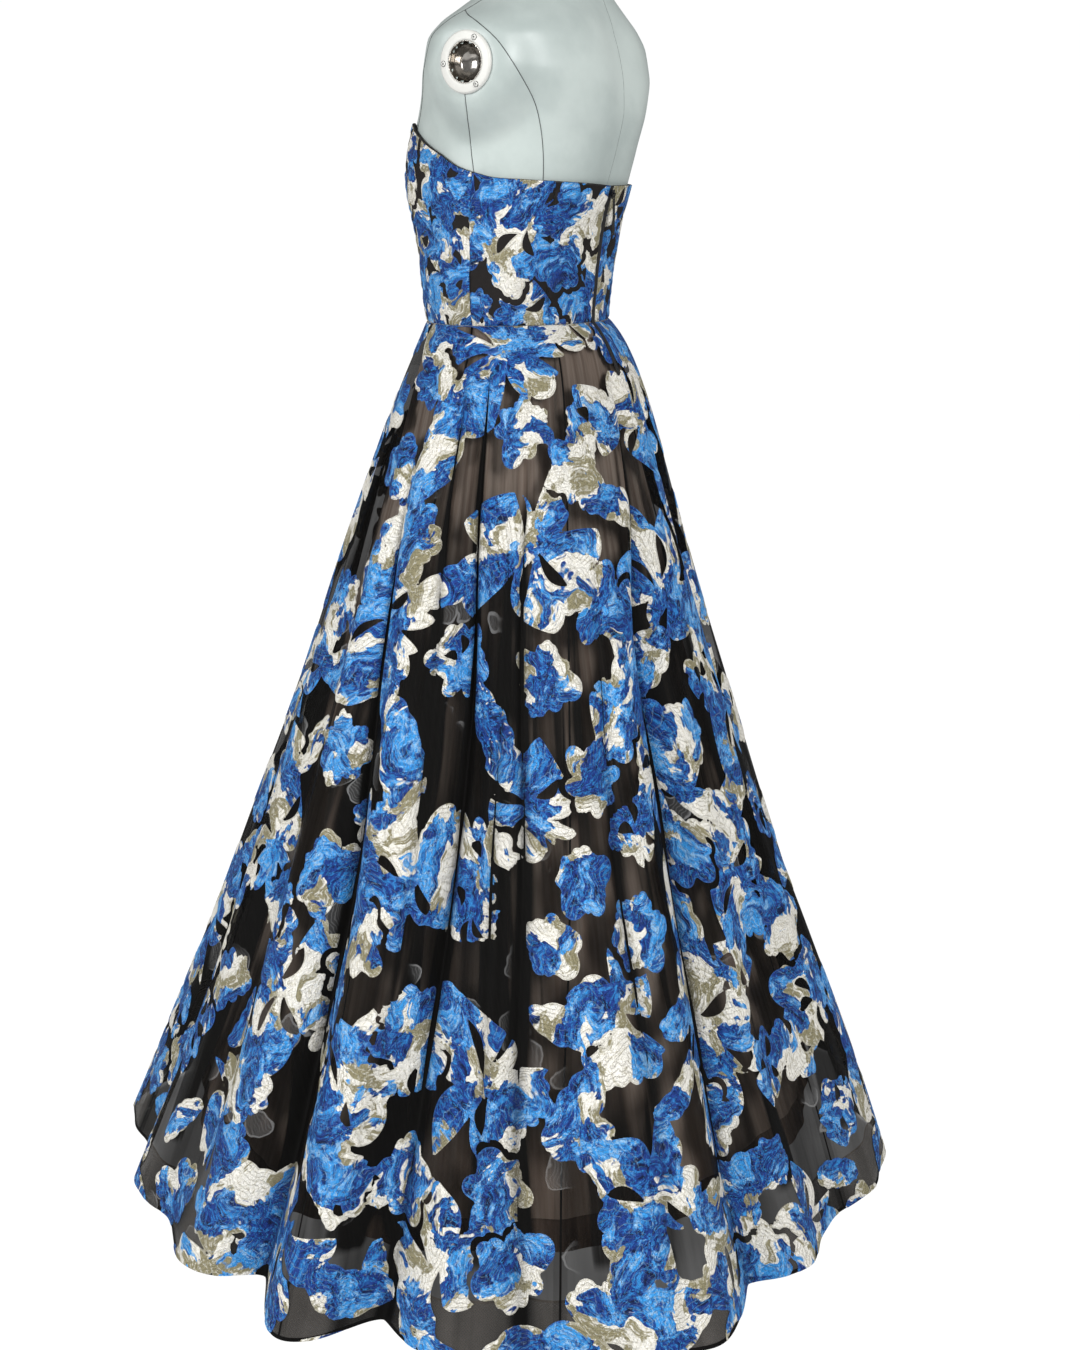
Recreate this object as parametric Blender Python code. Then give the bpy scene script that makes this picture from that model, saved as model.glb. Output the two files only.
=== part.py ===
# Strapless tulle gown with a fluted skirt, standing on a limbless dress form with a round base
import bpy
import numpy as np

for old in list(bpy.data.objects):
    bpy.data.objects.remove(old, do_unlink=True)

# Named sizes in metres: the wearer faces -Y and the wearer's left is +X
WAIST_HEIGHT = 1.060
HEM_HEIGHT = 0.005
WAIST_HALF_WIDTH = 0.1280
WAIST_HALF_DEPTH = 0.1005
SKIRT_WALL = 0.0010
LINING_WALL = 0.0010
BODICE_WALL = 0.0024
BAND_WALL = 0.0010
BINDING_WALL = 0.0010
ZIP_WALL = 0.0009
GAP = 0.0003
BAND_TOP = 0.060
LINING_HEM = 0.105
ZIP_TOP = 1.2107
ZIP_END = 1.000
BODICE_LOW = 1.0603
ZIP_HALF_WIDTH = 0.0035
BINDING_WIDTH = 0.0050

# Rings of the form, hip to neck: height, half width, centre, front, back
FORM_RINGS = [
    (0.780, 0.1480, 0.0050, 0.0950, 0.1080),
    (0.815, 0.1590, 0.0050, 0.1030, 0.1160),
    (0.860, 0.1640, 0.0050, 0.1070, 0.1190),
    (0.910, 0.1580, 0.0040, 0.1060, 0.1150),
    (0.960, 0.1450, 0.0030, 0.1030, 0.1070),
    (1.010, 0.1320, 0.0010, 0.0990, 0.1000),
    (1.060, 0.1251, 0.0000, 0.0976, 0.0976),
    (1.083, 0.1262, -0.0010, 0.0995, 0.0985),
    (1.111, 0.1275, -0.0010, 0.1010, 0.1015),
    (1.140, 0.1285, 0.0000, 0.1040, 0.1060),
    (1.168, 0.1300, 0.0000, 0.1060, 0.1120),
    (1.197, 0.1315, 0.0020, 0.1100, 0.1190),
    (1.225, 0.1325, 0.0040, 0.1120, 0.1260),
    (1.252, 0.1340, 0.0070, 0.1140, 0.1310),
    (1.280, 0.1400, 0.0120, 0.1130, 0.1330),
    (1.307, 0.1530, 0.0190, 0.1110, 0.1270),
    (1.333, 0.1640, 0.0240, 0.1080, 0.1190),
    (1.360, 0.1640, 0.0260, 0.1020, 0.1100),
    (1.378, 0.1480, 0.0280, 0.0930, 0.1010),
    (1.396, 0.1180, 0.0320, 0.0800, 0.0870),
    (1.413, 0.0900, 0.0350, 0.0680, 0.0740),
    (1.438, 0.0650, 0.0330, 0.0590, 0.0620),
    (1.470, 0.0560, 0.0300, 0.0550, 0.0560),
    (1.500, 0.0540, 0.0290, 0.0540, 0.0540),
]
BUST_RISE = 0.014
BUST_HEIGHT = 1.225
BUST_SPAN = 0.075
SPINE_HOLLOW = 0.009
ARM_FLAT = 0.1600
ARM_HEIGHT = 1.333
ARM_MIDDLE = 0.033
BOSS_INNER = 0.033
BOSS_OUTER = 0.085
BOSS_SQUEEZE_UP = 1.6
BOSS_SQUEEZE_BACK = 1.25

# Top edge of the bodice: angle from +X towards +Y, height
TOP_EDGE = [
    (-90.0, 1.262),
    (-75.0, 1.270),
    (-60.0, 1.279),
    (-50.0, 1.279),
    (-40.0, 1.270),
    (-25.0, 1.255),
    (-12.0, 1.243),
    (0.0, 1.230),
    (10.0, 1.223),
    (20.0, 1.218),
    (35.0, 1.216),
    (55.0, 1.214),
    (90.0, 1.211),
]

# Bodice seams on the left half: name, angle at the top, angle at the waist
BODICE_SEAMS = [
    ("front princess", -52.0, -52.0),
    ("side", 8.0, 8.0),
    ("back princess", 50.0, 56.0),
    ("centre back", 90.0, 90.0),
]

# Heights at which the lines of the skirt are tabulated
LINE_HEIGHTS = [1.060, 0.900, 0.700, 0.450, 0.200, 0.005]

# Lines down the skirt: name, kind, six angles, six depths, width in degrees, columns to the next line
SKIRT_LINES = [
    ("valley 14", "valley", (-26, -26, -25, -25, -24, -27), (0, 0.004, 0.010, 0.018, 0.026, 0.030), 7.0, 5),
    ("valley 0", "valley", (-12, -11, -7, -3.5, -4, -6), (0, 0.004, 0.014, 0.028, 0.042, 0.050), 6.0, 3),
    ("left side", "seam", (8, 3.5, 3, 3, 3, 3.5), (0, 0, 0, 0, 0, 0), 6.0, 2),
    ("valley 1", "valley", (10, 7, 17.5, 17.6, 14, 11.5), (0, 0.009, 0.006, 0, 0, 0), 5.0, 2),
    ("valley 2", "valley", (19.5, 20, 21.5, 20.5, 16.5, 14), (0, 0.012, 0.022, 0.034, 0.044, 0.048), 6.0, 6),
    ("valley 3", "valley", (40, 38, 36, 35, 34, 33), (0, 0.001, 0.004, 0.009, 0.013, 0.016), 8.0, 2),
    ("left back princess", "seam", (56, 52, 48, 44, 40, 38), (0, 0, 0, 0, 0, 0), 6.0, 7),
    ("valley 4", "valley", (85, 83.5, 74, 71, 68.5, 67), (0, 0.010, 0.022, 0.030, 0.035, 0.036), 5.2, 6),
    ("valley 5", "valley", (87.6, 87.6, 87.6, 87.2, 83, 85.5), (0, 0, 0, 0.007, 0.019, 0.030), 8.0, 2),
    ("centre back", "seam", (90, 90, 90, 90, 90, 90), (0, 0, 0, 0, 0, 0), 6.0, 5),
    ("valley 6", "valley", (106, 108, 112, 115, 118, 118), (0, 0.004, 0.014, 0.024, 0.032, 0.036), 6.5, 3),
    ("right back princess", "seam", (124, 124, 125, 126, 127, 127), (0, 0, 0, 0, 0, 0), 6.0, 4),
    ("valley 7", "valley", (136, 136, 137, 138, 138, 138), (0, 0.005, 0.012, 0.020, 0.028, 0.033), 6.5, 6),
    ("valley 8", "valley", (152, 153, 154, 154, 155, 155), (0, 0.006, 0.016, 0.028, 0.040, 0.044), 6.5, 5),
    ("right side", "seam", (172, 172, 173, 173, 173, 173), (0, 0, 0, 0, 0, 0), 6.0, 2),
    ("valley 9", "valley", (179, 179, 179, 180, 180, 180), (0, 0.004, 0.012, 0.022, 0.030, 0.034), 6.5, 7),
    ("valley 10", "valley", (201, 201, 202, 203, 203, 203), (0, 0.006, 0.016, 0.028, 0.038, 0.044), 6.5, 7),
    ("valley 11", "valley", (224, 224, 224, 225, 225, 225), (0, 0.004, 0.012, 0.020, 0.030, 0.036), 6.5, 3),
    ("right front princess", "seam", (232, 232, 232, 233, 234, 234), (0, 0, 0, 0, 0, 0), 6.0, 4),
    ("valley 12", "valley", (246, 246, 247, 248, 248, 248), (0, 0.006, 0.016, 0.028, 0.040, 0.046), 6.5, 7),
    ("valley 13", "valley", (270, 270, 270, 269, 269, 269), (0, 0.003, 0.010, 0.018, 0.026, 0.032), 6.5, 7),
    ("valley 15", "valley", (292, 292, 292, 291, 291, 291), (0, 0.006, 0.016, 0.028, 0.038, 0.044), 6.5, 6),
    ("left front princess", "seam", (308, 308, 309, 310, 310, 310), (0, 0, 0, 0, 0, 0), 6.0, 2),
    ("valley 16", "valley", (314, 314, 314, 315, 315, 315), (0, 0.004, 0.012, 0.020, 0.030, 0.034), 6.5, 6),
]
# Lobes that stand out further than the envelope: name, six angles, six heights out, width in degrees
SKIRT_LOBES = [
    ("lobe 1", (0, -1, 5, 6, 4, 4), (0, 0, 0.001, 0.006, 0.013, 0.020), 7.0),
    ("lobe 2", (52, 52, 52, 52, 53.5, 56), (0, 0, 0, 0.004, 0.014, 0.027), 9.0),
    ("lobe 3", (104, 104, 104, 104, 105, 107), (0, 0, 0, 0.008, 0.013, 0.003), 8.0),
]
SKIRT_ROWS = [1.0597, 1.045, 1.015, 0.960, 0.870, 0.760, 0.640, 0.515, 0.385, 0.255, 0.140, 0.060, 0.005]


def bust_rise(x, z, covered):
    tall = np.exp(-((z - BUST_HEIGHT) / 0.060) ** 2)
    if covered:
        side = np.maximum(np.abs(x) - BUST_SPAN, 0.0) / 0.040
        return BUST_RISE * tall * np.exp(-side ** 2)
    pair = np.exp(-((x - BUST_SPAN) / 0.040) ** 2) + np.exp(-((x + BUST_SPAN) / 0.040) ** 2)
    return BUST_RISE * tall * pair


def spine_hollow(x, z, covered):
    rise = np.clip((z - 1.10) / 0.10, 0.0, 1.0) * np.clip((1.43 - z) / 0.06, 0.0, 1.0)
    depth = SPINE_HOLLOW * (0.7 if covered else 1.0)
    return depth * rise * np.exp(-(x / 0.040) ** 2)


def form_ring(angle, row, covered):
    height, half, centre, front, back = FORM_RINGS[row]
    sine = np.sin(angle)
    x = np.clip(half * np.cos(angle), -ARM_FLAT, ARM_FLAT)
    y = centre + np.where(sine > 0.0, back * sine, front * sine)
    y = y - bust_rise(x, height, covered) * np.clip(-sine * 1.6, 0.0, 1.0)
    y = y - spine_hollow(x, height, covered) * np.clip(sine * 1.6, 0.0, 1.0)
    rise = (height - ARM_HEIGHT) * (BOSS_SQUEEZE_UP if height > ARM_HEIGHT else 1.0)
    away = (np.hypot((y - ARM_MIDDLE) * BOSS_SQUEEZE_BACK, rise) - BOSS_INNER) / (BOSS_OUTER - BOSS_INNER)
    away = np.clip(away, 0.0, 1.0)
    boss = np.where(np.abs(x) > 0.5 * ARM_FLAT, 1.0 - away * away * (3.0 - 2.0 * away), 0.0)
    x = x + (np.sign(x) * ARM_FLAT - x) * boss
    return np.stack([x, y], axis=-1)


def form_point(angle, height, covered=False):
    angle, height = np.broadcast_arrays(np.asarray(angle, float), np.asarray(height, float))
    levels = np.array([ring[0] for ring in FORM_RINGS])
    low = np.clip(np.searchsorted(levels, height, side="right") - 1, 0, len(levels) - 2)
    share = (height - levels[low]) / (levels[low + 1] - levels[low])
    rings = np.stack([form_ring(angle, row, covered) for row in range(len(levels))])
    place = tuple(np.indices(angle.shape))
    below = rings[(low,) + place]
    above = rings[(low + 1,) + place]
    plan = below + (above - below) * share[..., None]
    return np.concatenate([plan, height[..., None]], axis=-1)


def bodice_point(angle, height, out=0.0):
    angle, height = np.broadcast_arrays(np.asarray(angle, float), np.asarray(height, float))
    step = 0.002
    middle = form_point(angle, height, True)
    along = form_point(angle + step, height, True) - form_point(angle - step, height, True)
    normal = np.stack([along[..., 1], -along[..., 0]], axis=-1)
    normal = normal / np.linalg.norm(normal, axis=-1, keepdims=True)
    ease = 0.0005 + 0.0016 * np.clip((height - BODICE_LOW) / 0.030, 0.0, 1.0)
    reach = ease + BODICE_WALL + out
    plan = middle[..., :2] + normal * reach[..., None]
    return np.concatenate([plan, height[..., None]], axis=-1)


def top_height(angle):
    degrees = np.degrees(np.asarray(angle, float))
    degrees = (degrees + 270.0) % 360.0 - 270.0
    degrees = np.where(degrees < -90.0, -180.0 - degrees, degrees)
    degrees = np.where(degrees > 90.0, 180.0 - degrees, degrees)
    table = np.array(TOP_EDGE)
    return np.interp(degrees, table[:, 0], table[:, 1])


def envelope_point(angle, height):
    drop = WAIST_HEIGHT - height
    share = drop / (WAIST_HEIGHT - HEM_HEIGHT)
    flare = 0.0166 * (1.0 - np.exp(-drop / 0.05)) + 0.3302 * drop - 0.0094 * drop ** 2 + 0.0393 * drop ** 3
    half_width = WAIST_HALF_WIDTH + flare * (1.0 - 0.0356 * share)
    half_depth = WAIST_HALF_DEPTH + flare * (1.0 + 0.0356 * share)
    back = 0.007 * (1.0 - np.exp(-drop / 0.02)) * np.exp(-(drop / 0.25) ** 2)
    return half_width, half_depth, 0.0298 * share, back - 0.0096 * share


def fold_depth(angle, height):
    levels = LINE_HEIGHTS[::-1]
    total = np.zeros(np.broadcast(angle, height).shape)
    for name, kind, angles, depths, width, columns in SKIRT_LINES:
        if kind != "valley":
            continue
        middle = np.radians(np.interp(height, levels, angles[::-1]))
        depth = np.interp(height, levels, depths[::-1])
        away = (angle - middle + np.pi) % (2.0 * np.pi) - np.pi
        total = total + depth * np.exp(-(away / np.radians(width)) ** 2)
    for name, angles, rises, width in SKIRT_LOBES:
        middle = np.radians(np.interp(height, levels, angles[::-1]))
        rise = np.interp(height, levels, rises[::-1])
        away = (angle - middle + np.pi) % (2.0 * np.pi) - np.pi
        total = total - rise * np.exp(-(away / np.radians(width)) ** 2)
    return total


def skirt_surface(angle, height):
    angle, height = np.broadcast_arrays(np.asarray(angle, float), np.asarray(height, float))
    half_width, half_depth, x0, y0 = envelope_point(angle, height)
    depth = fold_depth(angle, height)
    x = x0 + (half_width - depth) * np.cos(angle)
    y = y0 + (half_depth - depth) * np.sin(angle)
    return np.stack([x, y, height], axis=-1)


def skirt_point(angle, height, out=0.0):
    middle = skirt_surface(angle, height)
    step = 0.002
    drop = 0.002
    along = skirt_surface(angle + step, height) - skirt_surface(angle - step, height)
    down = skirt_surface(angle, height - drop) - skirt_surface(angle, np.minimum(height + drop, WAIST_HEIGHT))
    normal = np.cross(down, along)
    normal = normal / np.linalg.norm(normal, axis=-1, keepdims=True)
    level = np.clip((WAIST_HEIGHT - height) / 0.030, 0.0, 1.0)
    normal[..., 2] = normal[..., 2] * level
    normal = normal / np.linalg.norm(normal, axis=-1, keepdims=True)
    return middle + normal * out


def line_angle(name, height):
    levels = LINE_HEIGHTS[::-1]
    for line in SKIRT_LINES:
        if line[0] == name:
            return np.radians(np.interp(height, levels, line[2][::-1]))
    return None


def add_solid(name, points, faces, colour, rough):
    mesh = bpy.data.meshes.new(name)
    mesh.from_pydata([tuple(float(v) for v in p) for p in points], [], faces)
    mesh.update()
    solid = bpy.data.objects.new(name, mesh)
    bpy.context.scene.collection.objects.link(solid)
    material = bpy.data.materials.new(name)
    material.use_nodes = True
    shader = material.node_tree.nodes["Principled BSDF"]
    shader.inputs["Base Color"].default_value = (colour[0], colour[1], colour[2], 1.0)
    shader.inputs["Roughness"].default_value = rough
    mesh.materials.append(material)
    return solid


def wall_faces(rows, columns, closed):
    count = rows * columns
    faces = []
    last = columns if closed else columns - 1
    for r in range(rows - 1):
        for c in range(last):
            n = (c + 1) % columns
            a = r * columns + c
            b = (r + 1) * columns + c
            d = (r + 1) * columns + n
            e = r * columns + n
            faces.append((a, b, d))
            faces.append((a, d, e))
            faces.append((count + a, count + d, count + b))
            faces.append((count + a, count + e, count + d))
    for c in range(last):
        n = (c + 1) % columns
        faces.append((c, n, count + n))
        faces.append((c, count + n, count + c))
        low = (rows - 1) * columns
        faces.append((low + c, count + low + c, count + low + n))
        faces.append((low + c, count + low + n, low + n))
    if not closed:
        for r in range(rows - 1):
            a = r * columns
            b = (r + 1) * columns
            faces.append((a, count + a, count + b))
            faces.append((a, count + b, b))
            a = r * columns + columns - 1
            b = (r + 1) * columns + columns - 1
            faces.append((a, b, count + b))
            faces.append((a, count + b, count + a))
    return faces


def add_wall(name, outer, inner, colour, rough, closed=False):
    rows, columns = outer.shape[:2]
    points = np.concatenate([outer.reshape(-1, 3), inner.reshape(-1, 3)])
    return add_solid(name, points, wall_faces(rows, columns, closed), colour, rough)


def add_rings(name, rings, colour, rough):
    rings = np.asarray(rings)
    rows, columns = rings.shape[:2]
    points = list(rings.reshape(-1, 3))
    faces = []
    for r in range(rows - 1):
        for c in range(columns):
            n = (c + 1) % columns
            a = r * columns + c
            b = (r + 1) * columns + c
            d = (r + 1) * columns + n
            e = r * columns + n
            faces.append((a, b, d))
            faces.append((a, d, e))
    points.append(rings[0].mean(axis=0))
    points.append(rings[-1].mean(axis=0))
    top = rows * columns
    low = (rows - 1) * columns
    for c in range(columns):
        n = (c + 1) % columns
        faces.append((top, c, n))
        faces.append((top + 1, low + n, low + c))
    return add_solid(name, points, faces, colour, rough)


def add_lathe(name, profile, sides, frame, colour, rough, hollow=False):
    origin, axis, first, second = [np.array(v, float) for v in frame]
    rings = []
    for radius, along in profile:
        turn = np.arange(sides) * 2.0 * np.pi / sides
        ring = origin + axis * along + radius * (np.cos(turn)[:, None] * first + np.sin(turn)[:, None] * second)
        rings.append(ring)
    if not hollow:
        return add_rings(name, rings, colour, rough)
    rows = len(rings)
    points = np.concatenate(rings)
    faces = []
    for r in range(rows):
        for c in range(sides):
            n = (c + 1) % sides
            s = (r + 1) % rows
            a = r * sides + c
            b = s * sides + c
            d = s * sides + n
            e = r * sides + n
            faces.append((a, b, d))
            faces.append((a, d, e))
    return add_solid(name, points, faces, colour, rough)


def add_cells(name, levels, filled, place, colour, rough):
    xs, ys, zs = levels
    index = {}
    points = []
    faces = []

    def corner(i, j, k):
        key = (i, j, k)
        if key not in index:
            index[key] = len(points)
            points.append(place(xs[i], ys[j], zs[k]))
        return index[key]

    def has(i, j, k):
        return (i, j, k) in filled

    sides = [
        ((1, 0, 0), ((1, 0, 0), (1, 1, 0), (1, 1, 1), (1, 0, 1))),
        ((-1, 0, 0), ((0, 0, 0), (0, 0, 1), (0, 1, 1), (0, 1, 0))),
        ((0, 1, 0), ((0, 1, 0), (0, 1, 1), (1, 1, 1), (1, 1, 0))),
        ((0, -1, 0), ((0, 0, 0), (1, 0, 0), (1, 0, 1), (0, 0, 1))),
        ((0, 0, 1), ((0, 0, 1), (1, 0, 1), (1, 1, 1), (0, 1, 1))),
        ((0, 0, -1), ((0, 0, 0), (0, 1, 0), (1, 1, 0), (1, 0, 0))),
    ]
    for i, j, k in sorted(filled):
        for (di, dj, dk), corners in sides:
            if has(i + di, j + dj, k + dk):
                continue
            ring = [corner(i + a, j + b, k + c) for a, b, c in corners]
            faces.append((ring[0], ring[1], ring[2]))
            faces.append((ring[0], ring[2], ring[3]))
    return add_solid(name, points, faces, colour, rough)


BLUE = (0.05, 0.11, 0.36)
BLACK = (0.012, 0.012, 0.014)
NUDE = (0.075, 0.052, 0.045)
VINYL = (0.26, 0.31, 0.31)
WHITE = (0.80, 0.80, 0.78)
STEEL = (0.45, 0.45, 0.46)

# Form: torso, neck cap, arm plates and sockets
FORM_SIDES = 32
form_angles = np.arange(FORM_SIDES) * 2.0 * np.pi / FORM_SIDES
form_rings = []
for ring in reversed(FORM_RINGS):
    form_rings.append(form_point(form_angles, np.full(FORM_SIDES, ring[0])))
add_rings("form_torso", form_rings, VINYL, 0.45)

neck_frame = ((0.0, 0.029, 1.500 + GAP), (0, 0, -1), (1, 0, 0), (0, 1, 0))
neck_profile = [(0.030, -0.016), (0.048, -0.012), (0.054, -0.005), (0.054, 0.0)]
add_lathe("form_neck_cap", neck_profile, 28, neck_frame, VINYL, 0.4)

for side, name in ((1.0, "left"), (-1.0, "right")):
    frame = ((side * (ARM_FLAT + GAP), ARM_MIDDLE, ARM_HEIGHT), (side, 0, 0), (0, 1, 0), (0, 0, -side))
    plate = [(0.0212, 0.0), (0.0212, 0.0034), (0.0232, 0.0042), (0.0300, 0.0036), (0.0315, 0.0020), (0.0315, 0.0)]
    add_lathe("arm_plate_" + name, plate[::-1], 24, frame, WHITE, 0.35, hollow=True)
    cup = [(0.0209, 0.0), (0.0209, 0.0030), (0.0190, 0.0030), (0.0150, 0.0018), (0.0060, 0.0014)]
    add_lathe("arm_socket_" + name, cup, 20, frame, STEEL, 0.2)

# Stand: pole and round base
pole_frame = ((0.0, 0.005, 0.0), (0, 0, -1), (1, 0, 0), (0, 1, 0))
add_lathe("stand_pole", [(0.0160, -(0.780 - GAP)), (0.0160, -(0.0235 + GAP))], 20, pole_frame, STEEL, 0.25)
base_profile = [(0.0240, -0.0235), (0.0280, -0.0225), (0.0320, -0.0150), (0.1500, -0.0115)]
base_profile = base_profile + [(0.1860, -0.0085), (0.1900, -0.0050), (0.1900, 0.0)]
add_lathe("stand_base", base_profile, 36, pole_frame, STEEL, 0.25)

# Bodice panels between seams, front round to centre back and round again
BODICE_SHARES = [0.0, 0.030, 0.22, 0.42, 0.62, 0.82, 1.0]


def bodice_angle(seam, share):
    name, top, waist = seam
    return np.radians(top + (waist - top) * share)


def bodice_panel(name, first, second, mirror, columns, colour):
    shares = np.array(BODICE_SHARES)[:, None]
    across = np.linspace(0.0, 1.0, columns + 1)[None, :]
    start = bodice_angle(first, shares)
    end = bodice_angle(second, shares)
    if mirror:
        start, end = np.pi - end, np.pi - start
    angle = start + (end - start) * across
    height = top_height(angle) * (1.0 - shares) + BODICE_LOW * shares
    for _ in range(2):
        speed = np.linalg.norm(bodice_point(angle + 0.001, height) - bodice_point(angle - 0.001, height), axis=-1)
        inset = 0.5 * GAP / (speed / 0.002)
        angle = start + (end - start) * across
        angle[:, 0] = start[:, 0] + inset[:, 0]
        angle[:, -1] = end[:, 0] - inset[:, -1]
        height = top_height(angle) * (1.0 - shares) + BODICE_LOW * shares
    outer = bodice_point(angle, height)
    inner = bodice_point(angle, height, -BODICE_WALL)
    add_wall(name, outer, inner, colour, 0.6)


FRONT, SIDE, BACK, CENTRE = BODICE_SEAMS
bodice_panel("bodice_side_front_left", FRONT, SIDE, False, 12, BLUE)
bodice_panel("bodice_side_back_left", SIDE, BACK, False, 9, BLUE)
bodice_panel("bodice_back_left", BACK, CENTRE, False, 7, BLUE)
bodice_panel("bodice_back_right", BACK, CENTRE, True, 7, BLUE)
bodice_panel("bodice_side_back_right", SIDE, BACK, True, 9, BLUE)
bodice_panel("bodice_side_front_right", FRONT, SIDE, True, 12, BLUE)
front_right = ("front princess right", -128.0, -128.0)
bodice_panel("bodice_front", front_right, FRONT, False, 14, BLUE)

# Neckline binding: bodice points moved out, open at the centre back
binding_angles = []
for start, end, columns in ((-270.0, -230.0, 7), (-230.0, -188.0, 9), (-188.0, -128.0, 12), (-128.0, -52.0, 14),
                            (-52.0, 8.0, 12), (8.0, 50.0, 9), (50.0, 90.0, 7)):
    binding_angles.extend(np.linspace(start, end, columns + 1)[:-1])
binding_angles.append(90.0)
binding = np.radians(np.array(binding_angles))
opening = 0.0045 / 0.115
binding[0] = binding[0] + opening
binding[-1] = binding[-1] - opening
binding_low = np.array([0.0, 1.0])[:, None]
binding_height = top_height(binding)[None, :] - 0.0002 - binding_low * (BINDING_WIDTH - 0.0002)
binding_grid = np.broadcast_to(binding[None, :], binding_height.shape)
binding_outer = bodice_point(binding_grid, binding_height, GAP + BINDING_WALL)
binding_inner = bodice_point(binding_grid, binding_height, GAP)
add_wall("neckline_binding", binding_outer, binding_inner, BLACK, 0.7)


# Skirt gores between seam lines, each column following the folds down
def skirt_columns(first, last):
    names = [line[0] for line in SKIRT_LINES]
    heights = np.array(SKIRT_ROWS)
    index = names.index(first)
    columns = []
    while names[index] != last:
        line = SKIRT_LINES[index]
        follower = SKIRT_LINES[(index + 1) % len(SKIRT_LINES)]
        start = line_angle(line[0], heights)
        end = line_angle(follower[0], heights)
        end = start + (end - start) % (2.0 * np.pi)
        for k in range(line[5]):
            columns.append(start + (end - start) * k / line[5])
        index = (index + 1) % len(SKIRT_LINES)
        if names[index] == last:
            columns.append(end)
    grid = np.stack(columns, axis=1)
    grid = np.unwrap(grid, axis=1)
    return grid


def skirt_gore(name, first, last):
    angle = skirt_columns(first, last)
    height = np.broadcast_to(np.array(SKIRT_ROWS)[:, None], angle.shape)
    speed = np.linalg.norm(skirt_surface(angle + 0.001, height) - skirt_surface(angle - 0.001, height), axis=-1)
    inset = 0.5 * GAP / (speed / 0.002)
    angle = angle.copy()
    angle[:, 0] = angle[:, 0] + inset[:, 0]
    angle[:, -1] = angle[:, -1] - inset[:, -1]
    outer = skirt_point(angle, height)
    inner = skirt_point(angle, height, -SKIRT_WALL)
    add_wall(name, outer, inner, BLUE, 0.6)


skirt_gore("skirt_side_front_left", "left front princess", "left side")
skirt_gore("skirt_side_back_left", "left side", "left back princess")
skirt_gore("skirt_back_left", "left back princess", "centre back")
skirt_gore("skirt_back_right", "centre back", "right back princess")
skirt_gore("skirt_side_back_right", "right back princess", "right side")
skirt_gore("skirt_side_front_right", "right side", "right front princess")
skirt_gore("skirt_front", "right front princess", "left front princess")

# Hem band: the lowest strip of the skirt's points moved in
ring = skirt_columns("centre back", "valley 5")
tail = skirt_columns("valley 5", "centre back")
band_angle = np.concatenate([ring[-2:, :-1], tail[-2:, :-1]], axis=1)
band_height = np.array([[BAND_TOP], [HEM_HEIGHT]]) * np.ones_like(band_angle)
band_outer = skirt_point(band_angle, band_height, -(SKIRT_WALL + GAP))
band_inner = skirt_point(band_angle, band_height, -(SKIRT_WALL + GAP + BAND_WALL))
add_wall("hem_band", band_outer, band_inner, BLACK, 0.7, closed=True)

# Lining skirt: hangs inside the valleys of the outer skirt, with soft folds of its own
LINING_ROWS = [1.0597, 1.040, 1.000, 0.930, 0.800, 0.600, 0.350, LINING_HEM]
LINING_COLUMNS = 56


def lining_point(angle, height, out=0.0):
    angle, height = np.broadcast_arrays(np.asarray(angle, float), np.asarray(height, float))
    half_width, half_depth, x0, y0 = envelope_point(angle, height)
    drop = WAIST_HEIGHT - height
    inward = SKIRT_WALL + GAP + 0.0120 * (1.0 - np.exp(-drop / 0.050))
    inward = inward + np.interp(height, [0.005, 0.20, 0.45, 0.70, 0.90, 1.06], [0.052, 0.046, 0.036, 0.026, 0.014, 0.0])
    waves = 0.005 * np.clip((0.98 - height) / 0.5, 0.0, 1.0)
    inward = inward + waves * (1.0 + np.sin(14.0 * angle + 0.6))
    x = x0 + (half_width - inward + out) * np.cos(angle)
    y = y0 + (half_depth - inward + out) * np.sin(angle)
    return np.stack([x, y, height], axis=-1)


lining_angle = (np.arange(LINING_COLUMNS) * 2.0 * np.pi / LINING_COLUMNS)[None, :]
lining_height = np.array(LINING_ROWS)[:, None]
lining_outer = lining_point(lining_angle, lining_height)
lining_inner = lining_point(lining_angle, lining_height, -LINING_WALL)
add_wall("lining_skirt", lining_outer, lining_inner, NUDE, 0.8, closed=True)

# Zip: one strip from the top edge over the waist seam, made from bodice and skirt points moved out
zip_rows = [("bodice", ZIP_TOP)]
for share in BODICE_SHARES[1:]:
    zip_rows.append(("bodice", TOP_EDGE[-1][1] * (1.0 - share) + BODICE_LOW * share))
for height in (1.045, 1.015, ZIP_END):
    zip_rows.append(("skirt", height))


def zip_grid(out):
    rows = []
    for kind, height in zip_rows:
        maker = bodice_point if kind == "bodice" else skirt_point
        row = []
        for side in (1.0, -1.0):
            centre = maker(np.array(np.pi / 2), np.array(height), out)
            row.append(centre + np.array([side * ZIP_HALF_WIDTH, 0.0, 0.0]))
        rows.append(row)
    return np.array(rows)


add_wall("zip_strip", zip_grid(GAP + ZIP_WALL), zip_grid(GAP), BLACK, 0.5)

# Zip slider with an arch, and the pull whose cross bar turns in it
SLIDER_HEIGHT = 1.2030
slider_high = bodice_point(np.array(np.pi / 2), np.array(SLIDER_HEIGHT + 0.005), 0.0)
slider_low = bodice_point(np.array(np.pi / 2), np.array(SLIDER_HEIGHT - 0.005), 0.0)
lean = (slider_high - slider_low) / np.linalg.norm(slider_high - slider_low)
face = np.cross(np.array([1.0, 0.0, 0.0]), lean)
face = face * (1.0 if face[1] > 0.0 else -1.0)
slider_origin = 0.5 * (slider_high + slider_low) + face * (2.0 * GAP + ZIP_WALL + 0.0004)
BAR_OUT = 0.0033


def slider_place(x, y, z):
    return slider_origin + np.array([x, 0.0, 0.0]) + face * y + lean * z


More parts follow.
